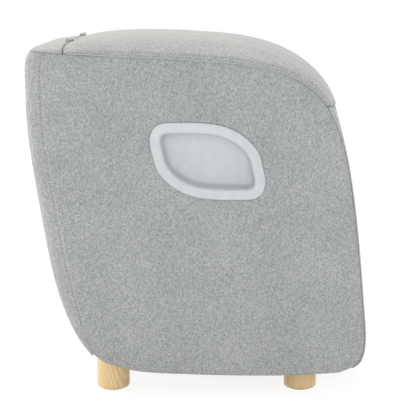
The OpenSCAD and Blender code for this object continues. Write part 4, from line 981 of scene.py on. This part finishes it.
# %% Boot liners
boot = boot_loops(LINER_GAP, FIT) + boot_loops(LINER_GAP + LINER_T, LINER_T - FIT)[::-1]
for side_name, side in (("left", -1), ("right", 1)):
    name = side_name + "_liner_sheet"
    boot_mesh = mesh_of(name, np.concatenate(boot) * np.array([1, side, 1]), loft(LOOP_POINTS, len(boot)))
    liner = piece_of(name, boot_mesh, "body", "liner_fabric")
    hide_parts(side_name + "_boot_liner")
skin = sum(face.area for face in liner.data.polygons) / 2
print("boot liner", len(boot), "loops;", round(skin, 4), "square metres of knit")

# %% [markdown]
# ## The cloth's own coordinates
# Woven fabric shows its threads along the piece it was cut from, so each cover gets a flat map in metres: across
# and along for the bands, length and height for the side panels. A band's map runs once round its section, and
# the faces that close the section are given the far end of the map and not its start.

# %% Flat maps
def lay_flat(piece, across, along, around=0.0):
    """Gives a cover its cloth map; around is the length of a closed section, in metres."""
    data = piece.data
    corners = np.empty(len(data.loops), int)
    data.loops.foreach_get("vertex_index", corners)
    u, v = np.asarray(across)[corners], np.asarray(along)[corners]
    if around:
        for face in data.polygons:
            span = slice(face.loop_start, face.loop_start + face.loop_total)
            if u[span].max() - u[span].min() > around / 2:
                u[span] += np.where(u[span] < around / 2, around, 0.0)
    cloth_map = data.uv_layers.new(name="cloth")
    cloth_map.data.foreach_set("uv", np.stack([u, v], axis=1).ravel())


def lay_band(piece, per_ring):
    """A band's map: the way round each ring, and the way along the rings' middles."""
    rings = points_of(piece.data).reshape(-1, per_ring, 3)
    round_it = np.linalg.norm(np.diff(np.concatenate([rings, rings[:, :1]], axis=1), axis=1), axis=2)
    across = np.cumsum(np.concatenate([np.zeros((len(rings), 1)), round_it[:, :-1]], axis=1), axis=1)
    along = np.repeat(run_along(rings.mean(axis=1)), per_ring)
    lay_flat(piece, across.ravel(), along, float(np.median(round_it.sum(axis=1))))


for band, count in ((lid_cushion, lid_ring), (front_cover, front_ring), (rear_lip, lip_ring),
                    (rear_cover, rear_ring)):
    lay_band(band, count)
for panel in panels:
    place_in = points_of(panel.data)
    folded = SIDE_FACE * MM - np.abs(place_in[:, 1])  # the map goes on over the folded edge
    lay_flat(panel, place_in[:, 0] + folded, place_in[:, 2] + folded)
print("cloth maps on", [p.name for p in (lid_cushion, front_cover, rear_lip, rear_cover, *panels)])

# %% [markdown]
# ## The opening for the power inlet
# The inlet at the back looks out through a hole in the rear cover. The faces of both skins are taken away over a
# rectangle, the two ragged rims are pulled straight, and a wall of fabric joins them.

# %% Opening for the inlet
OPENING, INLET_IN, REACH = (56.4, 26.4), (0.955, 0.0, 0.296), 40  # its size, the way in, how deep it cuts
SKINS_PART = 6 * MM  # the outer skin's rim lies less deep


def cut_opening(piece, middle, inward, size, depth):
    """Takes the faces of both skins away over a rectangle and joins the two edges by a fabric wall."""
    inward, across, middle = Vector(inward).normalized(), Vector((0, 1, 0)), Vector(middle) * MM
    up = inward.cross(across)
    half = [v * MM / 2 for v in size]
    shape = bmesh.new()
    shape.from_mesh(piece.data)

    def places(point):
        away = point - middle
        return away.dot(across), away.dot(up), away.dot(inward)

    gone = []
    for face in shape.faces:
        a, b, d = places(face.calc_center_median())
        if abs(a) < half[0] and abs(b) < half[1] and abs(d) < depth * MM:
            gone.append(face)
    bmesh.ops.delete(shape, geom=gone, context="FACES")
    edges = [e for e in shape.edges if e.is_boundary]
    rims = {v: places(v.co) for e in edges for v in e.verts}
    for outer in (True, False):
        skin = {v: at_v[:2] for v, at_v in rims.items() if (at_v[2] < SKINS_PART) == outer}
        spans = np.array(list(skin.values()))
        low, high = spans.min(axis=0), spans.max(axis=0)
        for v, (a, b) in skin.items():
            share = ((a, b) - low) / (high - low) * 2 - 1
            v.co += across * (share[0] * half[0] - a) + up * (share[1] * half[1] - b)
    bmesh.ops.bridge_loops(shape, edges=edges)
    bmesh.ops.recalc_face_normals(shape, faces=shape.faces)
    shape.to_mesh(piece.data)
    shape.free()
    print(piece.name, "opened by", size, "mm:", len(gone), "faces taken away")


cut_opening(rear_cover, INLET, INLET_IN, OPENING, REACH)

# %% [markdown]
# ## The upholstery fabric
# It is a mélange: yarns spun from light and dark grey fibres and woven tightly, so the cloth is one grey from
# afar and a fine speckle near by. Each stitch is a cell of a Voronoi pattern. The cell's number gives the stitch
# its grey, and the distance from its middle raises it. The real stitch is about 0.7 mm; it is drawn at 1.1 by
# 1.7 mm, about the finest that the picture can hold. Loose fibre ends catch light at the edges, which is the sheen.

# %% Fabric
STITCH = (1.05 * MM, 1.7 * MM, 1.0)
finish = {}


def melange_fabric(slot_name, name):
    made, tree, place = material(name)
    laid = add(tree, "UVMap", {"uv_map": "cloth"})
    scaled = add(tree, "VectorMath", {"operation": "DIVIDE", 0: laid, 1: STITCH})
    stitch = add(tree, "TexVoronoi", {"voronoi_dimensions": "2D", "Vector": scaled, "Scale": 1.0,
                                      "Randomness": 0.7})
    number = add(tree, "SeparateColor", {"Color": stitch.outputs["Color"]})
    grey = add(tree, "ValToRGB", {"Fac": number, "stops": [
        (0.0, "#919494"), (0.25, "#a2a5a5"), (0.6, "#abaead"), (0.85, "#b5b7b5"), (1.0, "#c2c4c1")]})
    # painted shade: soft patches about 70 mm across darken the cloth's colour by a few percent, standing in for the
    # shading of uneven padding
    shade_patch_noise = add(tree, "TexNoise", {"Vector": place, "Scale": 14, "Detail": 2})
    painted_shade_patches = add(tree, "ValToRGB", {"Fac": shade_patch_noise, "stops": [(0.3, "#f4f4f5"), (0.7, "#ffffff")]})
    shade = add(tree, "Mix", {"data_type": "RGBA", "blend_type": "MULTIPLY", 0: 1.0, 6: grey,
                              7: painted_shade_patches})
    relief = add(tree, "Bump", {"invert": True, "Strength": 0.35, "Distance": 0.4 * MM,
                                "Height": stitch})
    surface(tree, {"Base Color": shade.outputs[2], "Roughness": 0.92, "Specular IOR Level": 0.25,
                   "Sheen Weight": 0.22, "Sheen Roughness": 0.45, "Sheen Tint": linear("#f4f4f0")},
            relief)
    finish[slot_name] = made


melange_fabric("side_fabric", "woven_melange_body")
melange_fabric("lid_fabric", "woven_melange_lid")
print("fabric finishes", sorted(finish))

# %% [markdown]
# ## Plastics, rubber and paint
# A moulded part is never one flat colour. The mould's etched grain scatters the light, and flow marks shift the
# tone by a hair. One function makes all such surfaces: noise of the grain's real width chooses between two close
# tones, moves the roughness a little, and lifts the surface by the grain's height.

# %% Moulded and painted surfaces
ROUGH_SPREAD = 0.05  # the roughness moves this much to both sides


def grained(slot_name, name, low, high, width, rough, height=0.0, stretch=(1, 1, 1), **more):
    """A surface between two close tones; width and height are those of its grain, in millimetres."""
    made, tree, place = material(name)
    drawn_out = add(tree, "VectorMath", {"operation": "MULTIPLY", 0: place, 1: stretch})
    grain = add(tree, "TexNoise", {"Vector": drawn_out, "Scale": 1 / (width * MM), "Detail": 3})
    tone = add(tree, "ValToRGB", {"Fac": grain, "stops": [(0.3, low), (0.7, high)]})
    dull = add(tree, "MapRange", {"Value": grain, "To Min": rough - ROUGH_SPREAD,
                                  "To Max": rough + ROUGH_SPREAD})
    lift = add(tree, "Bump", {"Strength": 0.6, "Distance": height * MM, "Height": grain})
    surface(tree, {"Base Color": tone, "Roughness": dull} | more, lift)
    finish[slot_name] = made


# satin ABS of the handle cups: a polished mould, blasted once
grained("handle_plastic", "satin_abs", "#c7cbcf", "#cdd1d4", 9, 0.34, 0.02, IOR=1.52)
# thermoformed ABS sheet: the sheet's own pebble texture is left on the hidden side too
grained("inner_plastic", "thermoformed_abs", "#3b3d3f", "#494b4d", 1.6, 0.6, 0.09, IOR=1.52)
# glass-filled nylon of the pump: glass fibres at the skin make it blotchy and dull
grained("pump_plastic", "glass_filled_nylon", "#1d1f21", "#2d3033", 2.2, 0.55, 0.04, IOR=1.53)
# acetal gears: moulded smooth, milky and slightly waxy
grained("gear_plastic", "moulded_acetal", "#dad6c8", "#e6e3d7", 4, 0.3, 0.01, IOR=1.48)
# glossy ABS of the control panel and its buttons: a mirror-polished mould
grained("panel_plastic", "gloss_abs_panel", "#dfe2e5", "#e6e9eb", 12, 0.12, 0.004, IOR=1.53)
grained("button_white", "gloss_abs_white_button", "#eceeee", "#f3f5f5", 6, 0.14, 0.004, IOR=1.53)
grained("button_red", "gloss_abs_red_button", "#c23a30", "#cc443a", 6, 0.14, 0.004, IOR=1.53)
grained("rocker_red", "gloss_abs_rocker", "#861f1a", "#922821", 4, 0.18, 0.006, IOR=1.53)
# rubber parts: vulcanised in a blasted mould, with a bloom of wax that greys them
grained("bumper_rubber", "bumper_rubber", "#242527", "#323436", 1.2, 0.75, 0.03, IOR=1.52)
grained("roller_rubber", "roller_elastomer", "#55585c", "#62656a", 1.4, 0.62, 0.04, IOR=1.5)
# welded film of the air cells, and the wires' extruded cover, drawn out along the wire
grained("cell_rubber", "welded_tpu_film", "#2b2d30", "#383b3e", 2.5, 0.42, 0.05, IOR=1.5)
grained("wire_rubber", "extruded_pvc", "#151517", "#222224", 1.0, 0.5, 0.01, stretch=(1, 1, 0.2), IOR=1.53)
# silicone hose: extruded and a little see-through, so light goes into it
grained("hose_rubber", "silicone_hose", "#c9cdc8", "#d8dbd6", 3, 0.4, 0.01, IOR=1.41,
        **{"Subsurface Weight": 0.3, "Subsurface Scale": 2 * MM})
# powder-coated brackets and the motor's sprayed can: orange peel, finer on the can
grained("bracket_paint", "powder_coated_steel", "#74787b", "#7f8386", 1.1, 0.45, 0.05, IOR=1.5)
grained("motor_metal", "sprayed_motor_can", "#878a8d", "#95989b", 0.7, 0.38, 0.02, IOR=1.5, Metallic=0.5)
print(len(finish), "finishes so far")

# %% [markdown]
# ## Metal, wood, felt and the circuit board
# Zinc plating shows the steel's rolling as faint streaks. The pegs are turned from pale wood: growth rings are
# cylinders round the tree's middle, which lies outside the peg and leans, so the peg's side shows streaks where it
# cuts them lengthwise and arches where it cuts them at a slant.

# %% Metal
# zinc-plated and passivated steel, rolled, so its streaks run one way
grained("steel", "zinc_plated_steel", "#85898c", "#a2a6a9", 1.5, 0.36, 0.01, stretch=(0.15, 1, 1), Metallic=1.0)
# the hinges are steel too, but stoved in a grey enamel that hides them in the parting line
grained("hinge_enamel", "stoved_grey_enamel", "#a9acab", "#b3b5b3", 1.0, 0.5, 0.02, IOR=1.5)
# sintered bronze: pressed powder soaked in oil, full of fine pores
grained("bronze", "sintered_bronze", "#a87f49", "#c09758", 0.5, 0.5, 0.03, Metallic=1.0)

# %% Wood
RING_WAVE = 2 * math.pi / 20  # the wave texture's own period at a scale of 1
FIBRE_WIDTH, PORE_DEPTH = 0.9 * MM, 0.05 * MM


def wood(slot_name, name, early, late, ring, middle_mm, lean, rough, fibre, **more):
    """Wood from growth rings of a given width round the tree's middle; lean turns the middle, in degrees."""
    made, tree, place = material(name)
    moved = add(tree, "Mapping", {"Vector": place, "Location": [-v * MM for v in middle_mm],
                                  "Rotation": [math.radians(v) for v in lean]})
    rings = add(tree, "TexWave", {"wave_type": "RINGS", "rings_direction": "Z", "wave_profile": "SAW",
                                  "Vector": moved, "Scale": RING_WAVE / (ring * MM),
                                  "Distortion": 1.4, "Detail": 2, "Detail Scale": 0.6})
    along = add(tree, "VectorMath", {"operation": "MULTIPLY", 0: moved, 1: (1, 1, fibre)})
    fibres = add(tree, "TexNoise", {"Vector": along, "Scale": 1 / FIBRE_WIDTH, "Detail": 4})
    both = add(tree, "Math", {"operation": "MULTIPLY_ADD", 0: fibres, 1: 0.5,
                              2: rings.outputs["Fac"]})
    tone = add(tree, "ValToRGB", {"Fac": both, "stops": [(0.3, early), (0.85, late), (1.0, early)]})
    pores = add(tree, "Bump", {"Strength": 0.3, "Distance": PORE_DEPTH, "Height": fibres})
    surface(tree, {"Base Color": tone, "Roughness": rough, "IOR": 1.5} | more, pores)
    finish[slot_name] = made


# turned pine pegs under a clear satin lacquer
wood("foot_wood", "lacquered_pine", "#f0d5a4", "#dfba80", 3.4, (-165, -118, 0), (9, 6, 0), 0.38, 0.05,
     **{"Coat Weight": 0.35, "Coat Roughness": 0.25})
# birch plywood: a rotary-cut veneer, so the rings are wide and wavy, sanded and left raw
wood("board", "birch_plywood", "#dcc096", "#c9a673", 14, (0, 900, 200), (84, 0, 4), 0.68, 0.08)
print(len(finish), "finishes with metal and wood")

# %% Felt, thread, circuit board and knit
# pressed wool felt of the glides: loose short fibres in all directions
grained("felt", "pressed_wool_felt", "#4c4f51", "#63676a", 0.8, 0.95, 0.12, **{"Sheen Weight": 0.3})
# twisted polyester sewing thread: a lighter, silkier grey than the cloth
grained("polyester_thread", "polyester_thread", "#c9c8c3", "#dddbd5", 0.5, 0.55, 0.02, IOR=1.55)

# the solder mask is a thin green gloss over copper tracks, which show through it as lighter lines
finish["circuit_board"], tree, place = material("solder_mask_board")
tracks = add(tree, "TexVoronoi", {"feature": "DISTANCE_TO_EDGE", "distance": "EUCLIDEAN", "Vector": place,
                                  "Scale": 1 / (6 * MM), "Randomness": 0.85})
mask = add(tree, "ValToRGB", {"Fac": tracks, "stops": [(0.03, "#4f8f66"), (0.08, "#255c3d")]})
surface(tree, {"Base Color": mask, "Roughness": 0.25, "IOR": 1.55})

# spacer knit of the boot liners: round open stitches, dark between the threads; the real holes are 1.2 mm apart
# and drawn at 2.4 mm
finish["liner_fabric"], tree, place = material("spacer_knit")
holes = add(tree, "TexVoronoi", {"Vector": place, "Scale": 1 / (2.4 * MM), "Randomness": 0.25})
tone = add(tree, "ValToRGB", {"Fac": holes, "stops": [(0.15, "#3a3b3e"), (0.5, "#66676b")]})
lift = add(tree, "Bump", {"Strength": 0.6, "Distance": 0.5 * MM, "Height": holes})
surface(tree, {"Base Color": tone, "Roughness": 0.9, "Sheen Weight": 0.3}, lift)

# %% Putting the finishes on
def dress(thing, slot_name):
    """Every slot of the mesh gets the finish of one slot of the record."""
    if not thing.material_slots:
        thing.data.materials.append(None)
    for place_for in thing.material_slots:
        place_for.material = finish[slot_name]


for part in frame["record"]["subparts"]:
    dress(nodes[part["node"]], part["material_slot"])
for name in ("hinge_body_leaves", "hinge_lid_leaves", "hinge_pins"):
    dress(nodes[name], "hinge_enamel")
for thing in scene.objects:
    if thing.type == "MESH" and "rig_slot" in thing:
        dress(thing, thing.get("finish_name", thing["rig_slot"]))

# %% [markdown]
# ## The time taken
# The seconds that the cloth simulation took in all are printed.

# %% Simulation time
print("cloth simulation took", round(simulated_seconds, 1), "s in all")
